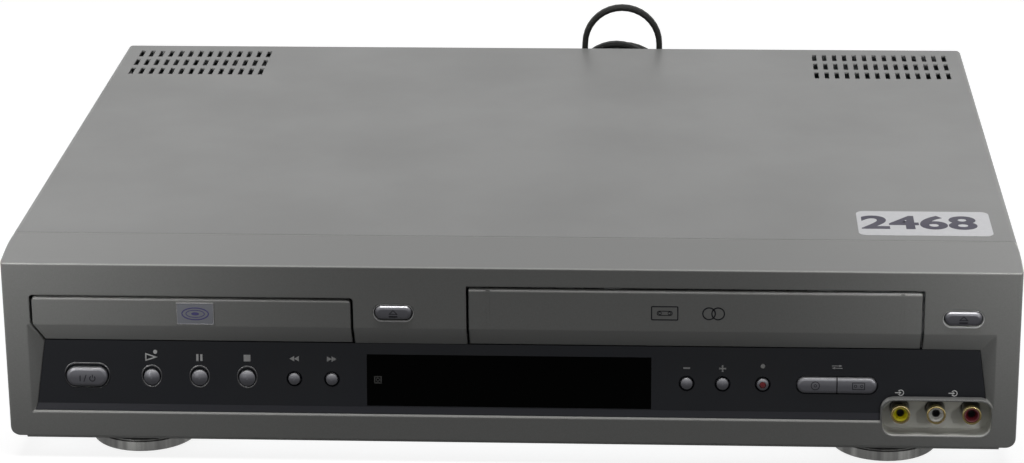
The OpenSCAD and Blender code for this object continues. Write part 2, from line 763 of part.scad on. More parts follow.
// One socket along Y, its front edge at y0 and its flange against a wall at y1; dir is the side
// that the wall lies on, 1 behind the shell's front edge and -1 before it
shell_end = pocket_d - jack_reach;
flange_t = 4;
module jack_shell(p, y0, y1, dir) {
    back = y1 + dir * flange_t;
    difference() {
        union() {
            rod_y(p[0], min(y0, back), max(y0, back), p[1], jack_r);
            rod_y(p[0], min(y1, back), max(y1, back), p[1], jack_r + 1.2);
        }
        rod_y(p[0], min(y0, back) - 1, max(y0, back) + 1, p[1], jack_r - jack_wall);
    }
}
jack_bore = 7.5;
mouth_r = 2.7;                         // the funnel that leads a pin in
mouth_d = 2;
module jack_insert(p, y0, y1, dir) {
    face = y0 + dir * 0.5;
    end = face + dir * jack_bore;
    slope = (mouth_r - jack_bore_r) / mouth_d;
    difference() {
        rod_y(p[0], min(face, y1), max(face, y1), p[1], jack_r - jack_wall - run_gap);
        rod_y(p[0], min(y0, end) - (dir > 0 ? 1 : 0), max(y0, end) + (dir < 0 ? 1 : 0), p[1], jack_bore_r);
        translate([p[0], face - dir * tiny, p[1]]) rotate([-90 * dir, 0, 0])
            cylinder(r1 = mouth_r + slope * tiny, r2 = jack_bore_r - slope * tiny, h = mouth_d + 2 * tiny);
    }
}
front_wall_y = pocket_d + bezel_t;
rear_tip_y = rear_y + jack_reach;
rear_wall_y = rear_y - sheet;
module jack_shells() {
    color(gold) in_case() {
        for (x = jack_x) jack_shell([x, jack_z], shell_end, front_wall_y, 1);
        for (p = rear_jacks) jack_shell(p, rear_tip_y, rear_wall_y, -1);
        for (x = coax_x) difference() {
            rod_y(x, rear_wall_y, rear_tip_y - 1, coax_z, coax_r);
            rod_y(x, rear_wall_y - 1, rear_tip_y, coax_z, coax_r - coax_wall);
        }
    }
}
module inserts(front_x, rear) {
    in_case() {
        jack_insert([front_x, jack_z], shell_end, jack_board_y, 1);
        for (p = rear) jack_insert(p, rear_tip_y, rear_wall_y - flange_t, -1);
    }
}
module video_jack_inserts() { color("gold") inserts(jack_x[0], rear_video); }
module left_jack_inserts() { color("white") inserts(jack_x[1], rear_left); }
module right_jack_inserts() { color("darkred") inserts(jack_x[2], rear_right); }

// ================================ gears ================================
pressure = 20;
backlash = 0.3;
function involute(a) = tan(a) * 180 / PI - a;
function tooth_side(r, base, half) =
    r <= base ? half + involute(pressure)
              : half + involute(pressure) - involute(acos(base / r));
module toothed_disc(teeth, h) {
    r = tooth_module * teeth / 2;
    base = r * cos(pressure);
    tip = r + 0.9 * tooth_module;
    root = r - 1.15 * tooth_module;
    half = 90 / teeth - backlash / 2 / r * 180 / PI / 2;
    radii = [for (i = [0:5]) root - 0.3 + (tip - root + 0.3) * i / 5];
    side = [for (q = radii) [q, tooth_side(q, base, half)]];
    linear_extrude(h) {
        circle(root);
        for (i = [0:teeth - 1]) rotate(360 / teeth * i)
            polygon(concat(
                [for (p = side) p[0] * [cos(p[1]), sin(p[1])]],
                [for (k = [5:-1:0]) side[k][0] * [cos(side[k][1]), -sin(side[k][1])]]
            ));
    }
}

// ================================ disc drive ================================
drive_x = tray_door_x;
tray_y0 = 9;
tray_y1 = tray_y0 + tray_len;
tray_low = 46.5;
runner_t = 1.5;
runner_z = 45.5;
wall_t = 2;
drive_in = tray_w / 2 + runner_t + 0.5;      // inner face of the drive frame's walls
drive_out = drive_in + wall_t;
drive_y0 = 24;
drive_y1 = tray_y1 + 4;
drive_z = 38;                                // underside of the drive frame's plate
wall_top = tray_top_z + 3.5;
gear_y = 36;
gear_r = tooth_module * tray_gear_teeth / 2;
pinion_r = tooth_module * pinion_teeth / 2;
rack_x = drive_x - tray_w / 2 + 6.75;        // pitch line of the rack
gear_x = rack_x + gear_r + 0.1;
pinion_x = gear_x + gear_r + pinion_r + 0.2;
gear_z = 42.8;
gear_t = 2.4;
gear_pin_r = 2;
hinge_y = 165;
hinge_z = 34;
hinge_r = 1.5;
trav_half = 45;
window_half = 48;
trav_z = 30;
rod_x0 = 20;
rod_z = 37;
sled_y = 94;
sled_len = 22;
stator_top = 41;

module drive_frame() {
    color(black_plastic) in_case() translate([drive_x, 0, 0]) difference() {
        union() {
            block([-drive_out, drive_y0, drive_z], [drive_out, drive_y1, drive_z + wall_t]);
            for (side = [-1, 1]) {
                mirror([side < 0 ? 1 : 0, 0, 0]) {
                    block([drive_in, drive_y0, 22], [drive_out, drive_y1, wall_top]);
                    // ledge under the runner and hooks over it
                    block([drive_in - 2.2, drive_y0, runner_z - 1.8],
                          [drive_in + 1, drive_y1, runner_z - seat_gap]);
                    for (y = [28, 64, drive_y1 - 14])
                        block([drive_in - 1.5, y, runner_z + 3.4], [drive_in + 1, y + 8, runner_z + 4.9]);
                    // ear of the traverse's hinge
                    block([window_half + 1, hinge_y - 6, hinge_z - 5],
                          [window_half + 3, hinge_y + 6, drive_z + 1]);
                    for (y = [drive_y0 + 10, drive_y1 - 6])
                        post(drive_in - 5, y, pan_top, drive_z + 1, 4);
                }
            }
            block([-drive_in, drive_y1 - wall_t, drive_z], [drive_in, drive_y1, drive_z + 10]);
            post(gear_x - drive_x, gear_y, drive_z, gear_z + gear_t, gear_pin_r);
        }
        block([-window_half, 52, drive_z - 1], [window_half, 172, drive_z + wall_t + 1]);
        rod_x(-window_half - 4, window_half + 4, hinge_y, hinge_z, hinge_r + run_gap);
        post(pinion_x - drive_x, gear_y, drive_z - 1, drive_z + wall_t + 1, 4);
    }
}

tooth_pitch = PI * tooth_module;
rack_teeth = ceil(tray_travel / tooth_pitch) + 3;
module rack_profile() {
    tip = 0.9 * tooth_module;
    root = 1.15 * tooth_module;
    half = tooth_pitch / 4 - backlash / 4;
    lean = tan(pressure);
    for (i = [0:rack_teeth - 1])
        translate([0, (i - 1.5) * tooth_pitch]) polygon([
            [-root - 0.2, -half - root * lean], [tip, -half + tip * lean],
            [tip, half - tip * lean], [-root - 0.2, half + root * lean]
        ]);
}

module disc_tray() {
    half = tray_w / 2;
    color([0.16, 0.16, 0.17]) in_case() translate([drive_x, 0, 0]) difference() {
        union() {
            difference() {
                block([-half, tray_y0, tray_low], [half, tray_y1, tray_top_z]);
                // hollow under the rim, around the disc recess
                difference() {
                    block([1.5 - half, tray_y0 + 1.5, tray_low - 1],
                          [half - 1.5, tray_y1 - 1.5, tray_top_z - 1.5]);
                    post(0, disc_y, tray_low - 2, tray_top_z, disc_r + 1.5);
                }
            }
            for (side = [-1, 1])
                translate([side * (half + runner_t / 2), tray_y0 + tray_len / 2 + 4, runner_z + 1.5])
                    cube([runner_t + tiny, tray_len - 8, 3], center = true);
            // front wall that carries the door
            block([-half, tray_y0, tray_low], [half, tray_y0 + 2, tray_top_z + 4.5]);
            // rack under the left side
            block([rack_x - drive_x - 5, gear_y - 8, gear_z - 0.2],
                  [rack_x - drive_x - 1.7, tray_y1 - 1, tray_top_z - 1]);
            translate([rack_x - drive_x, gear_y, gear_z - 0.2]) linear_extrude(gear_t + 0.4) rack_profile();
        }
        // seats for a large and a small disc
        post(0, disc_y, tray_low + 2.5, tray_top_z + 1, disc_r);
        post(0, disc_y, tray_low + 1.5, tray_top_z + 1, 41);
        // way out for the turntable and the pickup, open at the back
        block([-18, disc_y, tray_low - 2], [18, tray_y1 + 1, tray_top_z + 6]);
        post(0, disc_y, tray_low - 2, tray_top_z + 6, 18);
    }
}

badge_w = 15.8;
badge_h = 9.6;
module tray_door() {
    low = door_low;
    color(face_grey) in_case() {
        intersection() {
            along_x(tray_door_x, tray_door_w + 2) polygon([
                [0, crease_z], [0, tray_door_top - 0.7], [0.7, tray_door_top], [3, tray_door_top],
                [3, crease_z], [slope_y(low) + 2.4, low], [slope_y(low), low]
            ]);
            along_y(-1, 14) tray_outline(0);
        }
        // lugs that seat on the tray's front wall
        for (x = [-26, 26])
            block([drive_x + x - 6, 2.9, crease_z + 2], [drive_x + x + 6, tray_y0, tray_top_z + 4]);
        // small raised plate
        block([drive_x - badge_w / 2 + 1.9, -0.35, 52], [drive_x + badge_w / 2 + 1.9, 0.1, 52 + badge_h]);
    }
}

module tray_gear() {
    color("ivory") in_case() translate([gear_x, gear_y, gear_z]) difference() {
        union() {
            rotate(180) toothed_disc(tray_gear_teeth, gear_t);
            translate([0, 0, drive_z + wall_t + seat_gap - gear_z])
                cylinder(r = 4, h = gear_z - drive_z - wall_t - seat_gap + tiny);
        }
        translate([0, 0, -10]) cylinder(r = gear_pin_r + run_gap, h = 20);
    }
}

module loading_motor() {
    color(steel) in_case() {
        difference() {
            post(pinion_x, gear_y, 14, drive_z, 11.5);
            post(pinion_x, gear_y, drive_z - 8, drive_z + 1, 1 + run_gap);
        }
        post(pinion_x, gear_y, 12.5, 14.1, 4);
    }
}

module motor_pinion() {
    color("ivory") in_case() translate([pinion_x, gear_y, gear_z]) {
        rotate(180 / pinion_teeth) toothed_disc(pinion_teeth, gear_t);
        translate([0, 0, drive_z - 7 - gear_z]) cylinder(r = 1, h = gear_z - drive_z + 8);
        translate([0, 0, drive_z + wall_t - gear_z]) cylinder(r = 3, h = gear_z - drive_z - wall_t + tiny);
    }
}

module traverse() {
    color(steel) in_case() translate([drive_x, 0, 0]) {
        difference() {
            union() {
                block([-trav_half, 56, trav_z], [trav_half, hinge_y, trav_z + 2]);
                rod_x(-trav_half - 1, trav_half + 1, hinge_y, hinge_z, 3.4);
                rod_x(-window_half - 3, window_half + 3, hinge_y, hinge_z, hinge_r);
                for (side = [-1, 1], y = [sled_y - 6, sled_y + sled_len + sled_travel + 4])
                    block([side * rod_x0 - 3, y, trav_z + 1], [side * rod_x0 + 3, y + 2, rod_z + 3]);
                // stator of the spindle motor
                post(0, disc_y, trav_z, stator_top, 12);
            }
            post(0, disc_y, trav_z + 2, stator_top + 1, 1.2 + run_gap);
        }
        for (side = [-1, 1])
            rod_y(side * rod_x0, sled_y - 6, sled_y + sled_len + sled_travel + 6, rod_z, rod_r);
    }
}

module turntable() {
    color(black_plastic) in_case() translate([drive_x, disc_y, 0]) rotate_extrude() polygon([
        [0, trav_z + 3], [1.2, trav_z + 3], [1.2, stator_top + 0.3], [13, stator_top + 0.3],
        [13, stator_top + 4], [5, stator_top + 4], [5, 49.8], [turntable_r, 49.8],
        [turntable_r, 51.6], [7.4, 51.6], [6.6, tray_top_z], [2, tray_top_z], [1.2, tray_top_z - 0.8],
        [0, tray_top_z - 0.8]
    ]);
}

module pickup_sled() {
    color([0.25, 0.25, 0.28]) in_case() translate([drive_x, 0, 0]) {
        difference() {
            block([-26, sled_y, rod_z - 4], [26, sled_y + sled_len, rod_z + 4]);
            for (side = [-1, 1])
                rod_y(side * rod_x0, sled_y - 1, sled_y + sled_len + 1, rod_z, rod_r + run_gap);
        }
        post(0, sled_y + 7, rod_z + 3.9, rod_z + 6, 6);
        post(0, sled_y + 7, rod_z + 5.9, rod_z + 7.4, 3.2);
    }
}

puck_hole_r = 12;
puck_low = tray_top_z + 0.6;
bridge_t = 1.2;
module clamp_bridge() {
    color(steel) in_case() translate([drive_x, 0, 0]) difference() {
        union() {
            block([-drive_out, disc_y - 18, wall_top], [drive_out, disc_y + 18, wall_top + bridge_t]);
            for (y = [disc_y - 18, disc_y + 18 - bridge_t])
                block([-drive_out + 8, y, wall_top], [drive_out - 8, y + bridge_t, wall_top + 5]);
        }
        post(0, disc_y, wall_top - 1, wall_top + bridge_t + 1, puck_hole_r);
    }
}

module clamp_puck() {
    top = wall_top + bridge_t + seat_gap;
    color("whitesmoke") in_case() translate([drive_x, disc_y, 0]) rotate_extrude() polygon([
        [8, puck_low], [15, puck_low], [15, wall_top - 0.6], [9.7, wall_top - 0.6], [9.7, top],
        [14.5, top], [14.5, top + 1.4], [0, top + 1.4], [0, wall_top - 0.4], [8, wall_top - 0.4]
    ]);
}

// ================================ tape deck ================================
deck_x = tape_door_x;
deck_z = 15;
deck_top = deck_z + 2;
deck_y0 = 40;
deck_y1 = 245;
holder_half = holder_w / 2;
holder_t = 0.8;
holder_out = holder_half + holder_t;
slide_in = holder_out + 0.35;
slide_t = 1;
bracket_in = slide_in + slide_t + 0.4;
bracket_t = 1.2;
holder_low = door_low - 0.5;
holder_top = holder_low + 2 * holder_t + holder_h;
holder_y = deck_y0;
holder_pin_y = [holder_y + 10, holder_y + holder_d - 10];
holder_pin_z = holder_top - 3;
slide_pin_y = [holder_y + 8, holder_y + holder_d - 8];
slide_pin_z = 41;
slide_low = 38;
pin_r = 1.5;
reel_y = 104;
drum_x = deck_x - 4;
drum_y = 205;
drum_z = deck_top + 8;
capstan_x = deck_x + 58;
capstan_y = 170;
pinch_x = deck_x + 86;
pinch_y = 192;
pinch_len = 26.9;
pinch_rest = 244.5;
guide_reach = 50;
guide_y = 200;
guide_len = 15;
guide_rest = -70;
guide_pin_r = 2;

module deck_plate() {
    half = bracket_in + bracket_t;
    color(steel) in_case() translate([deck_x, 0, 0]) difference() {
        union() {
            block([-half, deck_y0, deck_z], [half, deck_y1, deck_top]);
            for (side = [-1, 1]) {
                mirror([side < 0 ? 1 : 0, 0, 0])
                    block([bracket_in, deck_y0, deck_z],
                          [bracket_in + bracket_t, holder_pin_y[1] + holder_in + 12, 60]);
                for (y = [50, deck_y1 - 12]) post(side * 90, y, pan_top, deck_z + 1, 4);
                post(side * reel_pitch / 2, reel_y, deck_z, deck_top + 10, 1.5);
                post(drum_x - deck_x + side * guide_reach, guide_y, deck_z, deck_top + 4, guide_pin_r);
            }
            post(pinch_x - deck_x, pinch_y, deck_z, deck_top + 9, guide_pin_r);
            // bearing of the capstan
            post(capstan_x - deck_x, capstan_y, deck_z - 3, deck_top + 5, 4);
        }
        post(capstan_x - deck_x, capstan_y, deck_z - 4, deck_top + 6, capstan_r + run_gap);
        // slots that guide the holder's slides
        for (y = [slide_pin_y[0], slide_pin_y[1] + holder_in])
            rod_x(-half - 1, half + 1, y, slide_pin_z, pin_r + run_gap);
        block([-half - 1, slide_pin_y[0], slide_pin_z - pin_r - run_gap],
              [half + 1, slide_pin_y[1] + holder_in, slide_pin_z + pin_r + run_gap]);
        // openings that lighten the plate
        for (side = [-1, 1]) block([side * 72 - 9, 64, deck_z - 1], [side * 72 + 9, 134, deck_top + 1]);
        block([-18, 64, deck_z - 1], [18, 150, deck_top + 1]);
    }
}

module tilted() {
    translate([drum_x, drum_y, drum_z]) rotate([-drum_tilt, 0, 0]) children();
}
lower_drum_h = 8;
upper_drum_h = 13.5;
module lower_drum() {
    color(steel) in_case() difference() {
        union() {
            post(drum_x, drum_y, deck_top, drum_z + 2, 22);
            tilted() translate([0, 0, -3]) cylinder(r = drum_r, h = lower_drum_h + 3, $fn = 96);
        }
        tilted() translate([0, 0, -1]) cylinder(r = 2 + run_gap, h = lower_drum_h + 2);
    }
}
module upper_drum() {
    color("silver") in_case() tilted() {
        translate([0, 0, lower_drum_h + 0.3]) cylinder(r = drum_r, h = upper_drum_h, $fn = 96);
        cylinder(r = 2, h = lower_drum_h + 1);
        translate([0, 0, lower_drum_h + upper_drum_h]) cylinder(r = 12, h = 4);
    }
}

// A reel table on its pin, with the spindle that turns a cassette's hub
module reel(side) {
    color(black_plastic) in_case() translate([deck_x + side * reel_pitch / 2, reel_y, deck_top + 0.4])
        difference() {
            union() {
                cylinder(r = 19, h = 3);
                cylinder(r = 9, h = 6);
                cylinder(r = 4, h = 17);
                translate([0, 0, 17]) cylinder(r1 = 4, r2 = 2.4, h = 2);
                for (a = [0:120:240]) rotate(a) translate([3, -0.8, 6]) cube([2.4, 1.6, 10]);
            }
            translate([0, 0, -1]) cylinder(r = 1.5 + run_gap, h = 12);
        }
}
module supply_reel() { reel(-1); }
module takeup_reel() { reel(1); }

module capstan() {
    color(steel) in_case() {
        post(capstan_x, capstan_y, 3, 44, capstan_r);
        post(capstan_x, capstan_y, 4.5, deck_z - 4, 23);
    }
}

function pinch_at(a) = [pinch_x + pinch_len * cos(a), pinch_y + pinch_len * sin(a)];
module pinch_arm() {
    c = pinch_at(pinch_rest);
    color(steel) in_case() difference() {
        union() {
            post(pinch_x, pinch_y, deck_top + 0.4, deck_top + 8, 4.5);
            translate([pinch_x, pinch_y, deck_top + 4]) rotate(pinch_rest)
                translate([0, -3.2, 0]) cube([pinch_len, 6.4, 2]);
            post(c[0], c[1], deck_top + 4, deck_top + 6, 3.2);
            post(c[0], c[1], deck_top + 5, deck_top + 22, 1.5);
        }
        post(pinch_x, pinch_y, deck_top, deck_top + 12, guide_pin_r + run_gap);
    }
}
module pinch_roller() {
    c = pinch_at(pinch_rest);
    color(black_plastic) in_case() difference() {
        post(c[0], c[1], deck_top + 6.3, deck_top + 20, roller_r);
        post(c[0], c[1], deck_top, deck_top + 30, 1.5 + run_gap);
    }
}

// An arm that carries a tape guide round the drum; side -1 is the supply side
module guide_arm(side) {
    color(steel) in_case() translate([drum_x + side * guide_reach, guide_y, deck_top + 0.4])
        mirror([side > 0 ? 1 : 0, 0, 0]) rotate(guide_rest) difference() {
            union() {
                cylinder(r = 3.6, h = 3);
                translate([0, -2.6, 0]) cube([guide_len, 5.2, 2]);
                translate([guide_len, 0, 0]) cylinder(r = 2.6, h = 2);
                translate([guide_len, 0, 1]) cylinder(r = 1.6, h = 22);
                translate([guide_len, 0, 4]) cylinder(r = 2.4, h = 14);
            }
            translate([0, 0, -1]) cylinder(r = guide_pin_r + run_gap, h = 6);
        }
}
module supply_guide() { guide_arm(-1); }
module takeup_guide() { guide_arm(1); }

module fixed_heads() {
    color("lightgray") in_case() {
        // erase head
        block([deck_x - 53, 164, deck_top], [deck_x - 43, 171, deck_top + 3]);
        post(deck_x - 48, 168, deck_top, deck_top + 20, 3);
        block([deck_x - 51, 164, deck_top + 5], [deck_x - 45, 170, deck_top + 18]);
        // audio and control head
        block([deck_x + 35, 164, deck_top], [deck_x + 47, 172, deck_top + 3]);
        post(deck_x + 41, 168, deck_top, deck_top + 22, 2);
        block([deck_x + 37, 164, deck_top + 5], [deck_x + 45, 171, deck_top + 19]);
    }
}

module holder_slides() {
    color(steel) in_case() translate([deck_x, 0, 0]) for (side = [-1, 1])
        mirror([side < 0 ? 1 : 0, 0, 0]) difference() {
            union() {
                block([slide_in, holder_y + 2, slide_low],
                      [slide_in + slide_t, holder_y + holder_d - 2, holder_top]);
                for (y = slide_pin_y)
                    rod_x(slide_in + 0.2, bracket_in + bracket_t, y, slide_pin_z, pin_r);
            }
            for (y = holder_pin_y) {
                for (z = [holder_pin_z, holder_pin_z - holder_drop])
                    rod_x(slide_in - 1, slide_in + slide_t + 0.2, y, z, pin_r + run_gap);
                block([slide_in - 1, y - pin_r - run_gap, holder_pin_z - holder_drop],
                      [slide_in + slide_t + 0.2, y + pin_r + run_gap, holder_pin_z]);
            }
        }
}

module cassette_holder() {
    y1 = holder_y + holder_d;
    color(steel) in_case() translate([deck_x, 0, 0]) difference() {
        union() {
            block([-holder_out, holder_y, holder_top - holder_t], [holder_out, y1, holder_top]);
            for (side = [-1, 1]) mirror([side < 0 ? 1 : 0, 0, 0]) {
                block([holder_half, holder_y, holder_low], [holder_out, y1, holder_top]);
                block([holder_half - 7, holder_y, holder_low], [holder_out, y1, holder_low + holder_t]);
                for (y = holder_pin_y)
                    rod_x(holder_half + 0.2, slide_in + slide_t, y, holder_pin_z, pin_r);
            }
        }
        for (side = [-1, 1])
            block([side * 45 - 28, holder_y + 12, holder_top - 3],
                  [side * 45 + 28, y1 - 12, holder_top + 1]);
    }
}

arm_in = 3;
module cassette_door() {
    low = door_low;
    color(face_grey) in_case() {
        intersection() {
            along_x(tape_door_x, tape_door_w + 2) polygon([
                [0, crease_z], [0, tape_door_top - 1.1], [0.3, tape_door_top - 0.4],
                [1, tape_door_top], [door_t, tape_door_top],
                [door_t, crease_z + 0.6], [slope_y(low) + 1.8, low], [slope_y(low), low]
            ]);
            along_y(-1, 14) tape_outline(0);
        }
        // arms that rise behind the bezel to the pivot, with their pins
        for (side = [-1, 1]) {
            along_x(tape_door_x + side * (tape_door_w / 2 - arm_in / 2), arm_in) {
                translate([pivot_y, pivot_z]) circle(2.1);
                polygon([
                    [door_t - tiny, 58], [door_t - tiny, tape_door_top - 3],
                    [bezel_t + 0.5, tape_door_top], [bezel_t + 0.5, pivot_z],
                    [pivot_y + 2.1, pivot_z], [pivot_y + 0.4, 60]
                ]);
            }
            x = tape_door_x + side * tape_door_w / 2;
            reach = door_gap + ear_gap + ear_t;
            rod_x(min(x - tiny * side, x + reach * side), max(x - tiny * side, x + reach * side),
                  pivot_y, pivot_z, pivot_r);
        }
    }
}

// ================================ rear electronics ================================
module main_board() {
    top = board_z + pcb_t - tiny;
    low = main_low;
    deep = main_high[1] - main_low[1];
    color(board_green) in_case() {
        block([low[0], low[1], board_z], [main_high[0], main_high[1], board_z + pcb_t]);
        // chips, capacitors and connectors
        for (p = [[29, 0.17], [65, 0.2], [109, 0.25], [145, 0.15]])
            translate([low[0] + p[0] - 11, low[1] + p[1] * deep - 11, top]) cube([22, 22, 2.4]);
        for (i = [0:6]) post(low[0] + 15 + 16 * i, low[1] + 0.43 * deep, top, top + 11, 3.5);
        for (i = [0:4])
            block([low[0] + 15 + 30 * i, low[1] + 0.52 * deep, top],
                  [low[0] + 33 + 30 * i, low[1] + 0.59 * deep, top + 9]);
    }
}

module power_board() {
    top = board_z + pcb_t - tiny;
    x = power_low[0];
    mid = (power_low[1] + power_high[1]) / 2;
    color(board_green) in_case() {
        block([x, power_low[1], board_z], [power_high[0], power_high[1], board_z + pcb_t]);
        // transformer, capacitors and a finned heat sink
        block([x + 116, mid - 14, top], [x + 152, mid + 14, top + 30]);
        block([x + 112, mid - 9, top + 4], [x + 156, mid + 9, top + 26]);
        post(x + 174, mid, top, top + 34, 12.5);
        for (i = [0:4]) post(x + 30 + 18 * i, mid - 8, top, top + 18, 5);
        for (i = [0:3]) post(x + 40 + 20 * i, mid + 9, top, top + 13, 5);
        sink = power_high[0] - 26;
        block([sink, mid - 15, top], [sink + 2, mid + 15, top + 40]);
        for (i = [0:5]) block([sink, mid - 14 + 5.3 * i, top], [sink + 14, mid - 12.5 + 5.3 * i, top + 40]);
    }
}

module rear_sockets() {
    seat = board_z + pcb_t;
    inner = rear_wall_y;
    jack_back = inner - flange_t;
    tuner_d = 0.39 * (main_high[1] - main_low[1]);
    color(black_plastic) in_case() {
        // tuner box behind its two aerial sockets
        block([coax_x[0] - 12, inner - tuner_d, seat], [coax_x[1] + 12, inner, 40]);
        // two wide sockets, one above the other, on their block
        for (z = scart_z) difference() {
            union() {
                block([scart_x - scart_w / 2 - 2, inner - 16, z - 10.95],
                      [scart_x + scart_w / 2 + 2, inner, z + 10.95]);
                block([scart_x - scart_w / 2, inner - 4, z - scart_h / 2],
                      [scart_x + scart_w / 2, rear_y + 3, z + scart_h / 2]);
            }
            block([scart_x - scart_w / 2 + 3, inner - 12, z - 5.5],
                  [scart_x + scart_w / 2 - 3, rear_y + 4, z + 5.5]);
        }
        block([scart_x - scart_w / 2 - 2, inner - 16, seat],
              [scart_x + scart_w / 2 + 2, inner, scart_z[0] - 10]);
        // blocks that carry the round sockets
        block([audio_x[0] - 8, jack_back - 8, seat], [audio_x[1] + 8, jack_back, socket_z[1] + 9]);
        block([video_x[0] - 7, jack_back - 8, seat], [video_x[1] + 7, jack_back, socket_z[0] + 9]);
    }
}

// ================================ mains lead ================================
relief_end = rear_y + 26;
floor_z = -foot_h;
plug_z = -3.6;
plug_y = 351;
lead_r = (lead_w + lead_t) / 4;         // one round radius for the flat lead
lead_z = floor_z + lead_r + fit_gap;    // where the lead lies on the surface
coil_x = 40;
coil_front = body_d + 1.5;
coil_top = 84.3;
arch_y = coil_front + fit_gap + lead_w / 2;
arch_x = 41.5;
arch_r = 19.1;
arch_z = 84.6;
// the lead from its strain relief along the surface to the coil
lead_in = [
    [relief_x, 350, relief_z], [relief_x, 355, relief_z], [109.5, 362, 12], [108, 370, 6],
    [105, 374.5, 0.5], [100, 377, -4.5], [93, 377, -7.2], [85, 373.5, lead_z], [77, 367, lead_z],
    [70, 359.5, lead_z], [63, 352.5, lead_z], [55, 346.6, lead_z], [47, 342.6, lead_z]
];
// the lead from the coil along the surface to its plug
lead_out = [
    [33, 329.8, lead_z], [26, 331.5, lead_z], [17, 336.5, lead_z], [7, 342.5, lead_z],
    [-3, 348, -6.9], [-10, 350.6, -4.8], [-15, plug_y, plug_z], [-20, plug_y, plug_z]
];
arch_path = concat(
    [for (z = [70, 77]) [arch_x - arch_r, arch_y, z]],
    [for (a = [180:-15:0]) [arch_x + arch_r * cos(a), arch_y, arch_z + arch_r * sin(a)]],
    [for (z = [77, 70]) [arch_x + arch_r, arch_y, z]]
);

module strain_relief() {
    color(black_plastic) in_case() {
        rod_y(relief_x, rear_wall_y - 3, rear_wall_y - tiny, relief_z, relief_r + 1.5);
        rod_y(relief_x, rear_wall_y - 1, rear_y + 1, relief_z, relief_r);
        rod_y(relief_x, rear_y + tiny, rear_y + 3, relief_z, relief_r + 1.5);
        translate([relief_x, rear_y + 2.9, relief_z]) rotate([-90, 0, 0])
            cylinder(r1 = relief_r - 0.4, r2 = 3.4, h = relief_end - rear_y - 2.9);
    }
}

function unit(v) = v / norm(v);
// A round tube swept along the points of a route, as one closed solid
module tube(path, r, sides = 8) {
    last = len(path) - 1;
    way = [for (i = [0:last]) unit(path[min(i + 1, last)] - path[max(i - 1, 0)])];
    across = [for (w = way) unit(cross(w, abs(w[1]) < 0.9 ? [0, 1, 0] : [0, 0, 1]))];
    rings = [for (i = [0:last], k = [0:sides - 1])
        path[i] + r * (cos(360 * k / sides) * across[i]
                       + sin(360 * k / sides) * cross(way[i], across[i]))];
    walls = [for (i = [0:last - 1], k = [0:sides - 1])
        let (a = i * sides, b = a + sides, n = (k + 1) % sides)
        [a + k, a + n, b + n, b + k]];
    polyhedron(points = rings, faces = concat(walls,
        [[for (k = [sides - 1:-1:0]) k], [for (k = [0:sides - 1]) last * sides + k]]));
}
module mains_lead() {
    color(black_plastic) in_case() {
        tube(lead_in, lead_r);
        tube(arch_path, lead_r);
        tube(lead_out, lead_r);
    }
}

module coil_outline(r) {
    soft_rect(coil_x - r, coil_x + r, floor_z + coil_r - r, coil_top - coil_r + r, r - 0.01, r - 0.01);
}
module lead_coil() {
    color(black_plastic) in_case() difference() {
        along_y(coil_front, coil_front + coil_depth) coil_outline(coil_r);
        along_y(coil_front - 1, coil_front + coil_depth + 1) coil_outline(coil_r - coil_ring);
    }
}

module mains_plug() {
    color(black_plastic) in_case() {
        along_y(plug_y - 11, plug_y + 11) polygon([
            [-20, plug_z - 3], [-26, floor_z + 0.2], [-54, floor_z + 0.2], [-56, floor_z + 1.2],
            [-56, plug_z + 5.5], [-54, plug_z + 6.5], [-26, plug_z + 6.5], [-20, plug_z + 3]
        ]);
        for (y = [plug_y - 9.3, plug_y + 9.3]) {
            rod_x(-66, -55, y, plug_z, 1.9);
            rod_x(-75, -65, y, plug_z, 2);
        }
    }
}

top_cover();
base_chassis();
rear_panel();
front_bezel();
control_panel();
display_window();
foot_bodies();
foot_pads();
case_screws();
power_button();
play_button();
pause_button();
stop_button();
rewind_button();
forward_button();
channel_down_button();
channel_up_button();
record_button();
select_disc_button();
select_tape_button();
disc_eject_button();
tape_eject_button();
front_board();
display_tube();
jack_shells();
video_jack_inserts();
left_jack_inserts();
right_jack_inserts();
drive_frame();
disc_tray();
tray_door();
tray_gear();
loading_motor();
motor_pinion();
traverse();
turntable();
pickup_sled();
clamp_bridge();
clamp_puck();
deck_plate();
lower_drum();
upper_drum();
supply_reel();
takeup_reel();
capstan();
pinch_arm();
pinch_roller();
supply_guide();
takeup_guide();
fixed_heads();
holder_slides();
cassette_holder();
cassette_door();
main_board();
power_board();
rear_sockets();
strain_relief();
mains_lead();
lead_coil();
mains_plug();
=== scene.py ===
"""Disc player and tape recorder in one case: finishes, prints, mains lead, light and camera.

Everything is in metres in the row frame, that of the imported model: X to the right, Y to the back,
Z up from the surface that the feet stand on. The part's source is in millimetres and counts X from
the case's centre, Y from its front plane and Z from the bottom edge of its face. Numbers in its
millimetres go through at(), row_y() or row_z().
"""

import json
import math

import bmesh
import bpy
from mathutils import Matrix, Vector

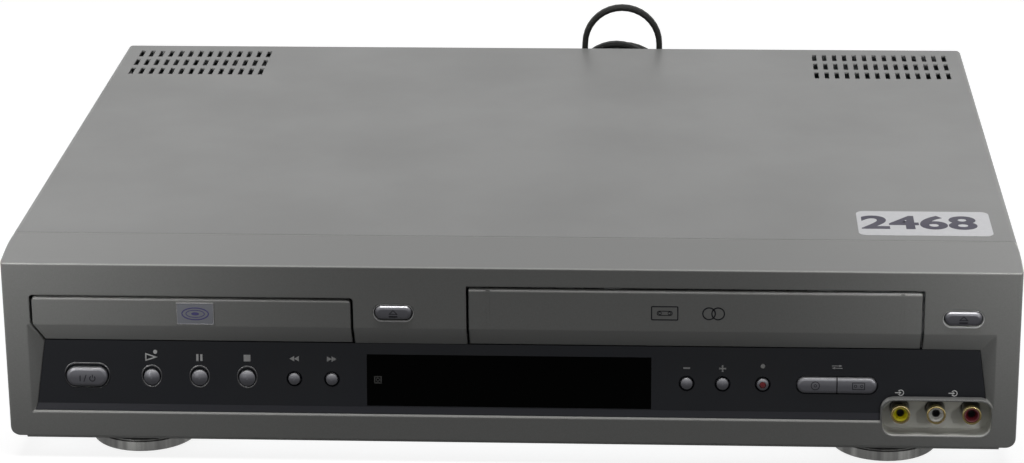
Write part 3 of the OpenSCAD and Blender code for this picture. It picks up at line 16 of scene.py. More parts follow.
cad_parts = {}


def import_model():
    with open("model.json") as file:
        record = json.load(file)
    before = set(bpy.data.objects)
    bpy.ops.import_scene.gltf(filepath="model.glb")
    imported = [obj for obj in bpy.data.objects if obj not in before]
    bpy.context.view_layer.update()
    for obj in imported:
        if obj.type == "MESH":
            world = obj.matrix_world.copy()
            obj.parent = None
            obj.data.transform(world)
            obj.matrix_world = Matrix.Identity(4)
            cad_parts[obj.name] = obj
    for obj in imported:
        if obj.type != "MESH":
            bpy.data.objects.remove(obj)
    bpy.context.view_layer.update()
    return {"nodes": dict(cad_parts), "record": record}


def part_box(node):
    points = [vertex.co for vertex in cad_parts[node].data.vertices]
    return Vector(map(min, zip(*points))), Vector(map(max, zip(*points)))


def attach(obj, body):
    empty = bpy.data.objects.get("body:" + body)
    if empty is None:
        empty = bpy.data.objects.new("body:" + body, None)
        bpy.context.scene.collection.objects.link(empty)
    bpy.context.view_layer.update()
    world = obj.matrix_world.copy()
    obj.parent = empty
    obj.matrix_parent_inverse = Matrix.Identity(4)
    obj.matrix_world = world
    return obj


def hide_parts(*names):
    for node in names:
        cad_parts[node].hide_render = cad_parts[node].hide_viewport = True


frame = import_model()

MM = 0.001
FOOT = 10.0                                   # height of the feet under the face, mm
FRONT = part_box("front_bezel")[0][1]           # the front plane, metres
REAR = (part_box("rear_panel")[1][1] - FRONT) / MM    # the rear panel's back, mm behind the front plane


def row_y(y):
    """Y in metres, from the millimetres of the part's source."""
    return FRONT + y * MM


def row_z(z):
    """Z in metres, from the millimetres of the part's source."""
    return (z + FOOT) * MM


def at(x, y, z):
    """A point given in the millimetres of the part's source."""
    return Vector((x * MM, row_y(y), row_z(z)))


def middle_x(node):
    """X of a CAD node's middle, in millimetres."""
    low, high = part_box(node)
    return (low[0] + high[0]) / 2 / MM


def add_object(name, data):
    """A new object in the scene."""
    obj = bpy.data.objects.new(name, data)
    bpy.context.scene.collection.objects.link(obj)
    return obj


# ---------------------------------------------------------------- camera

PHOTO_WIDTH = 1024                            # px
FOCAL_LENGTH = 3138                           # of the photograph, px
SENSOR_WIDTH = 36                             # mm
CAMERA_PLACE = (71.4, -1236.2, 521.7)
CAMERA_TURN = (19.02, -0.50, -3.21)           # pitch down, roll and yaw, degrees


def aim_camera():
    """The photograph's camera, fitted to the case's edges in its 1024 x 463 frame."""
    pitch, roll, yaw = (math.radians(a) for a in CAMERA_TURN)
    ahead = Vector((math.sin(yaw) * math.cos(pitch), math.cos(yaw) * math.cos(pitch), -math.sin(pitch)))
    level = Vector((math.cos(yaw), -math.sin(yaw), 0))
    above = level.cross(ahead)
    right = level * math.cos(roll) + above * math.sin(roll)
    up = above * math.cos(roll) - level * math.sin(roll)
    data = bpy.data.cameras.new("camera")
    data.sensor_width = SENSOR_WIDTH
    data.lens = SENSOR_WIDTH * FOCAL_LENGTH / PHOTO_WIDTH
    data.clip_start = 0.05
    data.clip_end = 30
    camera = add_object("camera", data)
    camera.matrix_world = Matrix.Translation(at(*CAMERA_PLACE)) @ Matrix(
        (right, up, -ahead)).transposed().to_4x4()
    bpy.context.scene.camera = camera


aim_camera()


# ---------------------------------------------------------------- materials

BUTTON_Z = 26.1                               # heights of the two rows of buttons, mm
EJECT_Z = 58.2
ROW_HALF = 3.8 * MM                           # the caps' painted shade runs this far either way of their row
BETWEEN_ROWS = 0.050                          # a height between the two rows, metres
SOFT = 0.0001                                 # over which one finish goes over into another, metres


class Finish:
    """A material: one Principled shader, and texture nodes that vary its sockets."""

    def __init__(self, name, **sockets):
        self.material = bpy.data.materials.new(name)
        self.material.use_nodes = True
        tree = self.material.node_tree
        self.nodes, self.links = tree.nodes, tree.links
        self.shader = self.nodes["Principled BSDF"]
        self.place = self.nodes.new("ShaderNodeTexCoord").outputs["Object"]
        self.last_normal = None
        for socket, value in sockets.items():
            value = (*value, 1) if isinstance(value, tuple) else value
            self.shader.inputs[socket.replace("_", " ")].default_value = value

    def node(self, kind, inputs, **values):
        """A shader node; each of its inputs is given a socket to link, or a value."""
        n = self.nodes.new("ShaderNode" + kind)
        for key, value in values.items():
            setattr(n, key, value)
        for key, value in inputs.items():
            if isinstance(value, bpy.types.NodeSocket):
                self.links.new(value, n.inputs[key])
            else:
                n.inputs[key].default_value = value
        return n

    def noise(self, scale, detail, stretch=(1, 1, 1)):
        """Noise with about scale features a metre, thinned along an axis by stretch."""
        place = self.node("Mapping", {"Vector": self.place, "Scale": stretch}).outputs[0]
        n = self.node("TexNoise", {"Vector": place, "Scale": scale, "Detail": detail, "Roughness": 0.55})
        return n.outputs["Fac"]

    def cells(self, scale):
        """A random colour for each cell, with about scale cells a metre."""
        return self.node("TexVoronoi", {"Vector": self.place, "Scale": scale}).outputs["Color"]

    def span(self, fac, low, high, start, end):
        """fac's range from start to end, spread from low to high."""
        n = self.node("MapRange", {"Value": fac, "From Min": start, "From Max": end,
                                   "To Min": low, "To Max": high})
        return n.outputs[0]

    def tint(self, fac, stops):
        """A colour that runs along stops, (place, colour) pairs."""
        n = self.node("ValToRGB", {"Fac": fac})
        ramp = n.color_ramp
        while len(ramp.elements) < len(stops):
            ramp.elements.new(0.5)
        for element, (place, colour) in zip(ramp.elements, stops):
            element.position = place
            element.color = (*colour, 1)
        return n.outputs["Color"]

    def drift(self, fac, colour, spread):
        """A colour that drifts by spread either way of colour, as fac does."""
        dark = tuple(c * (1 - spread) for c in colour)
        light = tuple(min(1, c * (1 + spread)) for c in colour)
        return self.tint(fac, [(0.3, dark), (0.7, light)])

    def mix(self, factor, one, two):
        """The colour one, and two where factor is 1."""
        one, two = ((*c, 1) if isinstance(c, tuple) else c for c in (one, two))
        inputs = {"Factor": factor, "A": one, "B": two}
        return self.node("Mix", inputs, data_type="RGBA").outputs["Result"]

    def times(self, one, two):
        return self.node("Math", {0: one, 1: two}, operation="MULTIPLY").outputs[0]

    def colour(self, socket):
        self.links.new(socket, self.shader.inputs["Base Color"])

    def vary(self, socket, fac, low, high, start=0.35, end=0.65):
        self.links.new(self.span(fac, low, high, start, end), self.shader.inputs[socket])

    def round_edges(self, radius):
        """Light catches an edge as if it had this radius, in metres."""
        self.last_normal = self.node("Bevel", {"Radius": radius}, samples=4).outputs[0]
        self.links.new(self.last_normal, self.shader.inputs["Normal"])

    def bump(self, height, strength, depth):
        """Relief of that depth in metres, on top of what is there."""
        inputs = {"Height": height, "Strength": strength, "Distance": depth}
        if self.last_normal:
            inputs["Normal"] = self.last_normal
        self.last_normal = self.node("Bump", inputs).outputs[0]
        self.links.new(self.last_normal, self.shader.inputs["Normal"])

    def rise(self):
        """1 where a rounded edge faces up, 0 where it is upright, -1 where it faces down.

        It needs round_edges first, and comes before bump.
        """
        return self.node("SeparateXYZ", {"Vector": self.last_normal}).outputs["Z"]

    def painted_edge_highlight(self, colour, bright):
        """colour, with a painted highlight along edges that face up and forward."""
        rise = self.rise()
        edge = self.times(self.span(rise, 0, 1, 0.30, 0.50), self.span(rise, 1, 0, 0.88, 0.96))
        return self.mix(edge, colour, bright)

    def coordinate(self, axis):
        """The place along an axis of the row frame, in metres."""
        return self.node("SeparateXYZ", {"Vector": self.place}).outputs[axis]

    def within(self, axis, low, high):
        """1 between low and high metres along an axis of the row frame, 0 outside."""
        place = self.coordinate(axis)
        return self.times(self.span(place, 0, 1, low - SOFT, low), self.span(place, 1, 0, high, high + SOFT))

    def reach(self, centre, core):
        """How far a place lies from a rectangle in the X-Z plane, of half sizes core about centre."""
        away = self.place
        for step, by in (("SUBTRACT", centre), ("MULTIPLY", (1, 0, 1)), ("ABSOLUTE", None),
                         ("SUBTRACT", (core[0], 0, core[1])), ("MAXIMUM", (0, 0, 0))):
            inputs = {0: away} if by is None else {0: away, 1: by}
            away = self.node("VectorMath", inputs, operation=step).outputs["Vector"]
        return self.node("VectorMath", {0: away}, operation="LENGTH").outputs["Value"]

    def shade_across_rows(self):
        """A number that rises from the lower to the upper edge of either row of buttons, for the caps'
        painted shade.
        """
        place = self.coordinate("Z")
        panel, face = row_z(BUTTON_Z), row_z(EJECT_Z)
        low = self.span(place, -0.35, 0.35, panel - ROW_HALF, panel + ROW_HALF)
        high = self.span(place, -0.35, 0.3, face - ROW_HALF, face + ROW_HALF)
        upper = self.span(place, 0, 1, BETWEEN_ROWS, BETWEEN_ROWS + SOFT)
        return self.node("Mix", {"Factor": upper, "A": low, "B": high}).outputs[0]


def with_pocket(f, coat, pocket):
    """coat, with a round-cornered pocket in it: a painted highlight on its rim where it faces up, and walls
    of paler bare plastic that painted light brightens toward the floor.
    """
    reach = f.reach(pocket["centre"], pocket["core"])
    # painted highlight on the rim, where it faces up
    rim = f.times(f.span(reach, 1, 0, *pocket["rim"]), f.within("Y", *pocket["front"]))
    rim = f.times(rim, f.span(f.rise(), 0, 1, 0.2, 0.5))
    coat = f.mix(rim, coat, pocket["bright"])
    inside = f.times(f.span(reach, 1, 0, *pocket["wall"]), f.within("Y", *pocket["deep"]))
    # painted light: the pale walls brighten to the floor colour toward the bottom
    walls = f.mix(f.span(f.coordinate("Z"), 1, 0, *pocket["low"]), pocket["pale"], pocket["floor"])
    return f.mix(inside, coat, walls)


def paint(name, colour, rough, speck, edge=0.0006, top=None, bright=None, pocket=None):
    """Satin metallic-effect paint: fine specks, slight orange peel, a soft drift of gloss.

    top is a painted highlight, its lighter colour where it faces up; bright is that of a painted highlight
    along its edges that face up.
    """
    f = Finish(name, Roughness=rough, Specular_IOR_Level=0.35)
    f.round_edges(edge)
    coat = f.drift(f.noise(2600, 2), colour, speck)
    if top:
        # painted highlight: the lighter top colour where the surface faces up
        coat = f.mix(f.span(f.rise(), 0, 1, 0.85, 0.96), coat, top)
    if bright:
        # painted highlight along edges that face up and forward
        coat = f.painted_edge_highlight(coat, bright)
    if pocket:
        coat = with_pocket(f, coat, pocket)
    f.colour(coat)
    f.vary("Roughness", f.noise(14, 4), rough - 0.05, rough + 0.05)
    f.bump(f.noise(900, 3), 0.12, 0.00004)
    return f.material


def moulded(name, colour, rough, specular, grain=1600, relief=0.15, edge=0.0004, bore_shade_y=None):
    """Moulded plastic with a fine spark-eroded grain.

    Deep in bores, a given stretch of Y is painted black as shade.
    """
    f = Finish(name, Roughness=rough, Specular_IOR_Level=specular)
    coat = f.drift(f.noise(60, 5), colour, 0.07)
    if bore_shade_y:
        coat = f.mix(f.within("Y", *bore_shade_y), coat, (0.006, 0.006, 0.006))
    f.colour(coat)
    f.vary("Roughness", f.noise(35, 5), rough - 0.06, rough + 0.06)
    f.round_edges(edge)
    f.bump(f.noise(grain, 3), relief, 0.00005)
    return f.material


def metal(name, colour, rough, stretch, scale, aniso=0.0):
    """Rolled or brushed metal: streaks along one axis, faint blotches of tarnish."""
    f = Finish(name, Roughness=rough, Metallic=1.0, Anisotropic=aniso)
    f.colour(f.drift(f.noise(25, 6), colour, 0.08))
    streaks = f.noise(scale, 3, stretch)
    f.vary("Roughness", streaks, rough - 0.07, rough + 0.07)
    f.round_edges(0.0003)
    f.bump(streaks, 0.1, 0.00003)
    return f.material


def zinc(name):
    """Zinc-plated sheet steel with its crystal pattern."""
    f = Finish(name, Roughness=0.36, Metallic=1.0)
    spangle = f.cells(160)
    f.colour(f.tint(spangle, [(0.0, (0.42, 0.43, 0.45)), (1.0, (0.62, 0.63, 0.64))]))
    f.vary("Roughness", spangle, 0.26, 0.46, 0, 1)
    f.round_edges(0.0003)
    f.bump(f.noise(300, 3), 0.08, 0.00003)
    return f.material


def circuit(name, low_z):
    """Solder mask with faint tracks; above low_z its parts are black, brown, blue or silver."""
    f = Finish(name, Roughness=0.38, Specular_IOR_Level=0.5)
    tracks = f.node("TexBrick", {"Vector": f.place, "Scale": 260, "Mortar Size": 0.012,
                                 "Color1": (0.014, 0.075, 0.024, 1), "Color2": (0.012, 0.065, 0.022, 1),
                                 "Mortar": (0.035, 0.16, 0.05, 1)}).outputs["Color"]
    parts = f.tint(f.cells(62), [
        (0.0, (0.012, 0.012, 0.013)), (0.45, (0.02, 0.02, 0.022)), (0.55, (0.02, 0.03, 0.09)),
        (0.7, (0.35, 0.35, 0.36)), (1.0, (0.10, 0.05, 0.02))])
    above = f.span(f.coordinate("Z"), 0, 1, low_z, low_z + 0.0003)
    f.colour(f.mix(above, tracks, parts))
    f.bump(f.noise(500, 2), 0.1, 0.00005)
    return f.material


def button_finish():
    """Silver effect paint on the round caps, with painted light: a painted highlight where they face up and
    near each row's top, painted shade underneath.
    """
    f = Finish("button_plastic", Roughness=0.36, Metallic=0.45, Specular_IOR_Level=0.4)
    f.round_edges(0.0005)
    # painted shade and highlight: how the cap faces, and its height in the row
    crown = f.node("Math", {0: f.rise(), 1: f.shade_across_rows()}, operation="ADD").outputs[0]
    f.colour(f.tint(f.span(crown, 0, 1, -0.8, 1.05), [
        (0.0, (0.018, 0.018, 0.023)), (0.28, (0.03, 0.03, 0.036)), (0.5, (0.065, 0.065, 0.075)),
        (0.75, (0.22, 0.22, 0.24)), (1.0, (0.62, 0.62, 0.64))]))
    f.vary("Roughness", f.noise(35, 5), 0.28, 0.4)
    f.bump(f.noise(1600, 3), 0.05, 0.00005)
    return f.material


def rim_finish():
    """Polished black plastic, with a painted reflection: light where it faces up, as if it showed a pale
    room.
    """
    f = Finish("rim_painted_reflection", Roughness=0.2, Specular_IOR_Level=0.4)
    f.round_edges(0.0002)
    f.colour(f.tint(f.span(f.rise(), 0, 1, -0.4, 0.8), [
        (0.0, (0.008, 0.008, 0.01)), (0.45, (0.016, 0.016, 0.02)), (0.65, (0.24, 0.24, 0.25)),
        (0.85, (0.9, 0.9, 0.9))]))
    f.vary("Roughness", f.noise(35, 5), 0.15, 0.25)
    f.bump(f.noise(1600, 3), 0.03, 0.00003)
    return f.material


def panel_finish():
    """Black satin plastic, with a painted highlight: a paler lower band where its lower facet catches light
    from above.
    """
    f = Finish("panel_plastic", Roughness=0.42, Specular_IOR_Level=0.16)
    f.round_edges(0.0004)
    base = f.drift(f.noise(60, 5), (0.0075, 0.0085, 0.0115), 0.07)
    # painted highlight on the panel's lower band
    f.colour(f.mix(f.within("Z", row_z(10.5), row_z(14.3)), base, (0.034, 0.035, 0.042)))
    f.vary("Roughness", f.noise(35, 5), 0.36, 0.48)
    f.bump(f.noise(1600, 3), 0.06, 0.00005)
    return f.material


def gold_finish():
    """Thin gold plate, with painted light: a painted highlight where a rim faces up, brown painted shade
    underneath and low on the sockets, and painted shade deeper inside the pocket.
    """
    f = Finish("gold_plate", Roughness=0.2, Metallic=1.0)
    f.round_edges(0.0005)
    gold = f.tint(f.span(f.rise(), 0, 1, -0.35, 0.35), [
        (0.0, (0.03, 0.02, 0.009)), (0.5, (0.10, 0.07, 0.024)), (1.0, (1.0, 0.84, 0.42))])
    # painted shade on the lower parts of the front sockets
    shaded_below = f.span(f.coordinate("Z"), 1, 0, row_z(13.2), row_z(15.7))
    # painted shade deeper inside the pocket
    depth = f.coordinate("Y")
    inside = f.times(f.span(depth, 0, 1, row_y(2.0), row_y(3.4)),
                     f.span(depth, 1, 0, row_y(29), row_y(30)))
    gold = f.mix(shaded_below, gold, (0.10, 0.075, 0.03))
    f.colour(f.mix(inside, gold, (0.035, 0.027, 0.009)))
    f.vary("Roughness", f.noise(300, 3), 0.14, 0.28)
    f.bump(f.noise(900, 3), 0.08, 0.00003)
    return f.material


def foot_finish():
    """Bright metallised plastic with fine upright streaks, and a painted dark reflection where its sides
    turn from view.
    """
    f = Finish("foot_plastic", Roughness=0.3, Metallic=0.85)
    streaks = f.noise(160, 3, (1, 1, 0.04))
    bright = f.tint(streaks, [
        (0.3, (0.08, 0.08, 0.078)), (0.5, (0.15, 0.15, 0.145)), (0.7, (0.27, 0.27, 0.26))])
    # painted reflection: darker where the surface turns from view
    facing = f.node("LayerWeight", {"Blend": 0.5}).outputs["Facing"]
    f.colour(f.mix(f.span(facing, 0, 0.85, 0.3, 0.75), bright, (0.01, 0.01, 0.01)))
    f.vary("Roughness", f.noise(60, 4), 0.24, 0.38)
    f.round_edges(0.0004)
    f.bump(streaks, 0.15, 0.00004)
    return f.material


def window_finish():
    """The smoked display window: almost black, with a fine polish and faint dust."""
    f = Finish("window_plastic", Roughness=0.12, Specular_IOR_Level=0.01)
    f.colour(f.drift(f.noise(45, 5), (0.0006, 0.0009, 0.0008), 0.3))
    f.vary("Roughness", f.noise(220, 4), 0.08, 0.2)
    return f.material


def tube_glass():
    """The display tube's grey glass."""
    f = Finish("display_glass", Roughness=0.08, Specular_IOR_Level=0.5)
    f.colour(f.drift(f.noise(180, 2, (1, 4, 4)), (0.05, 0.065, 0.065), 0.3))
    f.vary("Roughness", f.noise(60, 4), 0.05, 0.15)
    return f.material


COVER_GREY = (0.262, 0.262, 0.258)
FACE_GREY = (0.246, 0.248, 0.240)
# top is a painted highlight: the face paint is lighter where it faces up
FACE_COAT = {"speck": 0.06, "edge": 0.0009, "top": (0.285, 0.285, 0.28)}
BOARD_TOP = row_z(8 + 1.6)                    # the main board's upper side
BORES = (row_y(3.0), row_y(REAR + 6.2))       # behind the front sockets' funnels to the rear ones', where the inserts are painted black as shade
POCKET = {                                    # 46 mm wide and 15.8 high, with corners of 5 mm
    "centre": (181.25 * MM, 0, row_z(12.9)),
    "core": ((23 - 5) * MM, (7.9 - 5) * MM),
    "wall": (5.05 * MM, 5.1 * MM),            # reach from the core at which the walls end
    "rim": (5.55 * MM, 5.75 * MM),            # and at which the rim does
    "low": (row_z(7), row_z(14)),             # over which the floor's colour goes over into the walls'
    "front": (row_y(-1), row_y(1.6)),
    "deep": (row_y(0.7), row_y(12)),
    # bright is the rim's painted highlight
    "bright": (0.86, 0.86, 0.84),
    "pale": (0.50, 0.50, 0.46),
    # floor is painted light on the pocket's floor and lower walls
    "floor": (0.95, 0.95, 0.90),
}

finishes = {
    "cover_paint": paint("cover_paint", COVER_GREY, 0.42, speck=0.04),
    # bright is a painted highlight along the bezel's upward edges
    "bezel_plastic": paint("bezel_plastic", FACE_GREY, 0.36, bright=(0.52, 0.52, 0.50), pocket=POCKET,
                           **FACE_COAT),
    "panel_plastic": panel_finish(),
    "button_plastic": button_finish(),
    "zinc_steel": zinc("zinc_steel"),
    "screw_steel": metal("screw_steel", (0.30, 0.30, 0.31), 0.34, (1, 1, 1), 400),
    "foot_plastic": foot_finish(),
    "felt_pad": moulded("felt_pad", (0.03, 0.03, 0.03), 0.9, specular=0.1, grain=700, relief=0.7),
    "board": circuit("board", BOARD_TOP),
    "gold_plate": gold_finish(),
    "black_plastic": moulded("black_plastic", (0.012, 0.012, 0.013), 0.5, specular=0.35, relief=0.3),
    "tray_plastic": moulded("tray_plastic", (0.016, 0.016, 0.018), 0.46, specular=0.35, relief=0.3),
    "gear_plastic": moulded("gear_plastic", (0.70, 0.66, 0.56), 0.42, specular=0.4, relief=0.08),
    "drum_metal": metal("drum_metal", (0.74, 0.75, 0.76), 0.16, (1, 1, 60), 120, aniso=0.4),
    "roller_rubber": moulded("roller_rubber", (0.018, 0.018, 0.018), 0.75, specular=0.2, relief=0.4),
    "head_metal": metal("head_metal", (0.64, 0.64, 0.63), 0.24, (1, 1, 30), 160),
    "lead_jacket": moulded("lead_jacket", (0.006, 0.006, 0.005), 0.55, specular=0.25, grain=900, relief=0.2),
    "window_plastic": window_finish(),
    "display_glass": tube_glass(),
}
for slot, colour in (("yellow_plastic", (0.98, 0.84, 0.02)), ("white_plastic", (0.97, 0.94, 0.88)),
                     ("red_plastic", (0.20, 0.02, 0.03))):
    finishes[slot] = moulded(slot, colour, 0.3, specular=0.5, relief=0.05, bore_shade_y=BORES)
# the face paint again, with a brighter painted highlight along the cassette door's upward edges
door_highlit_paint = paint("door_highlit_paint", FACE_GREY, 0.36, bright=(0.95, 0.95, 0.92), **FACE_COAT)

for part in frame["record"]["subparts"]:
    mesh = frame["nodes"][part["node"]].data
    mesh.materials.clear()
    is_door = part["node"] == "cassette_door"
    mesh.materials.append(door_highlit_paint if is_door else finishes[part["material_slot"]])


# ---------------------------------------------------------------- building pieces

def piece(name, points, faces, slot, body="case", material=None, smooth=False):
    """A mesh piece in the row frame that rides on a body and takes its finish from a slot."""
    mesh = bpy.data.meshes.new(name)
    mesh.from_pydata([tuple(p) for p in points], [], faces)
    mesh.validate()
    grown = bmesh.new()
    grown.from_mesh(mesh)
    bmesh.ops.recalc_face_normals(grown, faces=grown.faces)
    grown.to_mesh(mesh)
    grown.free()
    if smooth:
        mesh.shade_smooth()
        mesh.set_sharp_from_angle(angle=math.radians(38))
    mesh.materials.append(material or finishes[slot])
    obj = add_object(name, mesh)
    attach(obj, body)
    return obj


def polar(r, degrees, x, y=0.0):
    """The point at a distance r from (x, y), in the direction of an angle."""
    a = math.radians(degrees)
    return x + r * math.cos(a), y + r * math.sin(a)


def circle(r, steps=32, x=0.0, y=0.0, ry=None):
    """A circle, or an ellipse of half height ry."""
    ry = r if ry is None else ry
    return [(x + r * math.cos(a), y + ry * math.sin(a))
            for a in (2 * math.pi * i / steps for i in range(steps))]


def triangle(w, h, x=0.0):
    """A triangle that points to the right."""
    return [(x - w / 2, -h / 2), (x + w / 2, 0), (x - w / 2, h / 2)]


def box_outline(w, h, r=0.0, x=0.0, y=0.0, steps=6):
    """A rectangle with round corners, counter-clockwise."""
    if r <= 0:
        return [(x + cx * w / 2, y + cy * h / 2) for cx, cy in ((-1, -1), (1, -1), (1, 1), (-1, 1))]
    out = []
    for cx, cy, start in ((1, -1, -90), (1, 1, 0), (-1, 1, 90), (-1, -1, 180)):
        out += [polar(r, start + 90 * i / steps, x + cx * (w / 2 - r), y + cy * (h / 2 - r))
                for i in range(steps + 1)]
    return out


def inner(outline, width):
    """The outline moved in by width, for a line of that thickness."""
    n = len(outline)
    out = []
    for i in range(n):
        a, b, c = (Vector(outline[(i + k) % n]) for k in (-1, 0, 1))
        one, two = (b - a).normalized(), (c - b).normalized()
        left = Vector((-one.y - two.y, one.x + two.x)).normalized()
        out.append(tuple(b + left * width / max(0.3, left.dot(Vector((-one.y, one.x))))))
    return out


def solid(rings, band=False):
    """Points and faces over rings of as many points each.

    It is a tube with two lids, or a band whose last ring joins its first.
    """
    n = len(rings[0])
    starts = [n * i for i in range(len(rings))]
    pairs = list(zip(starts, starts[1:])) + [(starts[-1], 0)] * band
    faces = [[a + k, a + (k + 1) % n, b + (k + 1) % n, b + k] for a, b in pairs for k in range(n)]
    if not band:
        faces += [list(range(n))[::-1], list(range(starts[-1], starts[-1] + n))]
    return [p for ring in rings for p in ring], faces


def join(*forms):
    """Several forms, each its points and its faces, as one."""
    points, faces = [], []
    for some, more in forms:
        faces += [[len(points) + k for k in face] for face in more]
        points += some
    return points, faces


def lathe(profile, steps=32):
    """Points and faces of a turned form about +Z, from (radius, height) pairs in mm."""
    return solid([[Vector((x, y, z)) for x, y in circle(r, steps)] for r, z in profile])


class Stamp:
    """Flat shapes in millimetres, raised a little off a surface: prints, plates and labels."""

    def __init__(self, origin, across, up, thick):
        self.origin, self.across, self.up = Vector(origin), Vector(across), Vector(up)
        self.out = self.across.cross(self.up)
        self.thick = thick
        self.points, self.faces = [], []

    def put(self, x, y, z):
        """The point x across, y up and z out of the surface."""
        return self.origin + (self.across * x + self.up * y + self.out * z) * MM

    def add(self, rings, band=False):
        rings = [[self.put(*p) for p in ring] for ring in rings]
        self.points, self.faces = join((self.points, self.faces), solid(rings, band))
        return self

    def fill(self, outline):
        """A solid plate with that outline."""
        return self.add([[(x, y, z) for x, y in outline] for z in (0, self.thick)])

    def line(self, outline, width):
        """A closed line of that width, inside the outline."""
        hole = inner(outline, width)
        edges = ((outline, 0), (outline, self.thick), (hole, self.thick), (hole, 0))
        return self.add([[(x, y, z) for x, y in edge] for edge, z in edges], band=True)

    def done(self, name, slot, body="case", material=None, smooth=False):
        return piece(name, self.points, self.faces, slot, body, material, smooth)


# ---------------------------------------------------------------- mains lead

LEAD_W, LEAD_T = 5.6, 3.2                     # a flat twin lead
EXIT = (110, 350, 15)                         # where it leaves its strain relief
ROW = 5.9                                     # from one row of turns to the next, front to back
LAYER = 3.5                                   # from one turn to the one inside it
FIRST_ROW = 329.4                             # Y of the front row
COIL_X, COIL_LOW = 40.0, 15.7                 # centre of the coil's lower round end
COIL_R = 24.0                                 # its outermost turns' radius
BACK_TOP, INNER_TOP, MIDDLE_TOP = (41.5, 56.4), (41.0, 56.4), (38.5, 62.1)    # upper ends' centres
ARCH = (41.5, 84.6, 19.1)                     # centre and radius of the loop that stands up
ON_FLOOR = -8.35                              # middle of the lead where it lies on the surface
PLUG_Y, PLUG_Z = 351.0, -3.6
LEAD_IN = [
    EXIT, (110, 355, 15), (109.5, 362, 12), (108, 370, 6), (105, 374.5, 0.5), (100, 377, -4.5),
    (93, 377, -7.6), (85, 373.5, ON_FLOOR), (77, 367, ON_FLOOR), (70, 359.5, ON_FLOOR),
    (63, 352.5, ON_FLOOR), (55, 346.6, ON_FLOOR), (47, 342.6, ON_FLOOR)
]
LEAD_OUT = [
    (33, 329.8, ON_FLOOR), (26, 331.5, ON_FLOOR), (17, 336.5, ON_FLOOR), (7, 342.5, ON_FLOOR),
    (-3, 348, -7.4), (-10, 350.6, -4.8), (-15, PLUG_Y, PLUG_Z), (-20, PLUG_Y, PLUG_Z)
]


def turn(y, radius, top, next_radius, next_y=None):
    """One turn, from the bottom up the left side, over the top and down the right side.

    The right side goes over to the next row, and the last quarter to the next radius. top is the
    centre of the upper end, and its radius if that is not the turn's.
    """
    next_y = next_y or y
    top_x, top_z, top_r = top if len(top) == 3 else (*top, radius)
    ends = [polar(radius, a, COIL_X, COIL_LOW) for a in range(-90, -181, -10)]
    ends += [polar(top_r, a, top_x, top_z) for a in range(180, -1, -10)]
    path = [(x, y, z) for x, z in ends]
    for share in (0.2, 0.4, 0.6, 0.8):
        x = (top_x + top_r) * (1 - share) + (COIL_X + radius) * share
        over = share * share * (3 - 2 * share)
        path.append((x, y + (next_y - y) * over, top_z * (1 - share) + COIL_LOW * share))
    for a in range(0, -90, -10):
        x, z = polar(radius + (next_radius - radius) * (-a / 90), a, COIL_X, COIL_LOW)
        path.append((x, next_y, z))
    return path


def smooth_way(points, step):
    """Points a step apart, in mm, on a Catmull-Rom curve through the given ones."""
    p = [Vector(q) for q in points]
    p = [2 * p[0] - p[1]] + p + [2 * p[-1] - p[-2]]
    out = []
    for a, b, c, d in zip(p, p[1:], p[2:], p[3:]):
        n = max(1, round((c - b).length / step))
        for i in range(n):
            t = i / n
            out.append(0.5 * (2 * b + (c - a) * t + (2 * a - 5 * b + 4 * c - d) * t * t
                              + (3 * b - a - 3 * c + d) * t ** 3))
    return out + [p[-2]]


def lead_route():
    """The lead's centreline: from its strain relief through three rows of turns to its plug."""
    back, middle = FIRST_ROW + 2 * ROW, FIRST_ROW + ROW
    wide, mid, tight = (COIL_R - LAYER * k for k in range(3))
    route = list(LEAD_IN)
    route += turn(back, wide, BACK_TOP, mid)
    route += turn(back, mid, BACK_TOP, tight)
    route += turn(back, tight, INNER_TOP, tight, middle)
    route += turn(middle, tight, MIDDLE_TOP, mid)
    route += turn(middle, mid, MIDDLE_TOP, mid, FIRST_ROW)
    route += turn(FIRST_ROW, mid, ARCH, wide)
    route += LEAD_OUT
    return smooth_way(route, 3.0)


def flat_profile():
    """The lead's section, across and on top, with the groove between its two cores."""
    steps = 20
    ring = []
    for i in range(steps):
        a = 2 * math.pi * i / steps
        c, s = math.cos(a), math.sin(a)
        u = LEAD_W / 2 * math.copysign(abs(c) ** 0.75, c)
        v = LEAD_T / 2 * math.copysign(abs(s) ** 0.8, s)
        ring.append((u, v * (1 - 0.2 * math.exp(-(u / 0.6) ** 2))))
    return ring


def sweep(route, section):
    """A closed tube: section's first number lies across the way and level, its second on top."""
    rings = []
    last = len(route) - 1
    across = Vector((1, 0, 0))
    for i, p in enumerate(route):
        way = (route[min(i + 1, last)] - route[max(i - 1, 0)]).normalized()
        level = way.cross(Vector((0, 0, 1)))
        if level.length > 0.25 and abs(way.y) > 0.12:
            across = across.lerp(level.normalized() * (1 if level.dot(across) > 0 else -1), 0.6)
        else:
            across = across.lerp(Vector((0, 1, 0)), 0.35)
        across = (across - way * across.dot(way)).normalized()
        thin = across.cross(way)
        rings.append([at(*(p + across * u + thin * v)) for u, v in section])
    return solid(rings)


def strain_relief():
    """A bush through the rear panel, with a ribbed boot that tapers."""
    profile = [(6.5, 0.05), (6.5, 2.4), (5.9, 3.0), (4.7, 3.2)]
    for i in range(6):
        z, r = 4.4 + 3.4 * i, 4.5 - 0.16 * i
        profile += [(r, z), (r, z + 2.0), (r - 0.9, z + 2.3), (r - 0.9, z + 3.1)]
    profile += [(3.5, 25.2), (3.3, 25.9)]
    points, faces = lathe(profile)
    points = [at(EXIT[0] + p.x, REAR + p.z, EXIT[2] + p.y) for p in points]
    return piece("strain_relief_boot", points, faces, "lead_jacket", smooth=True)


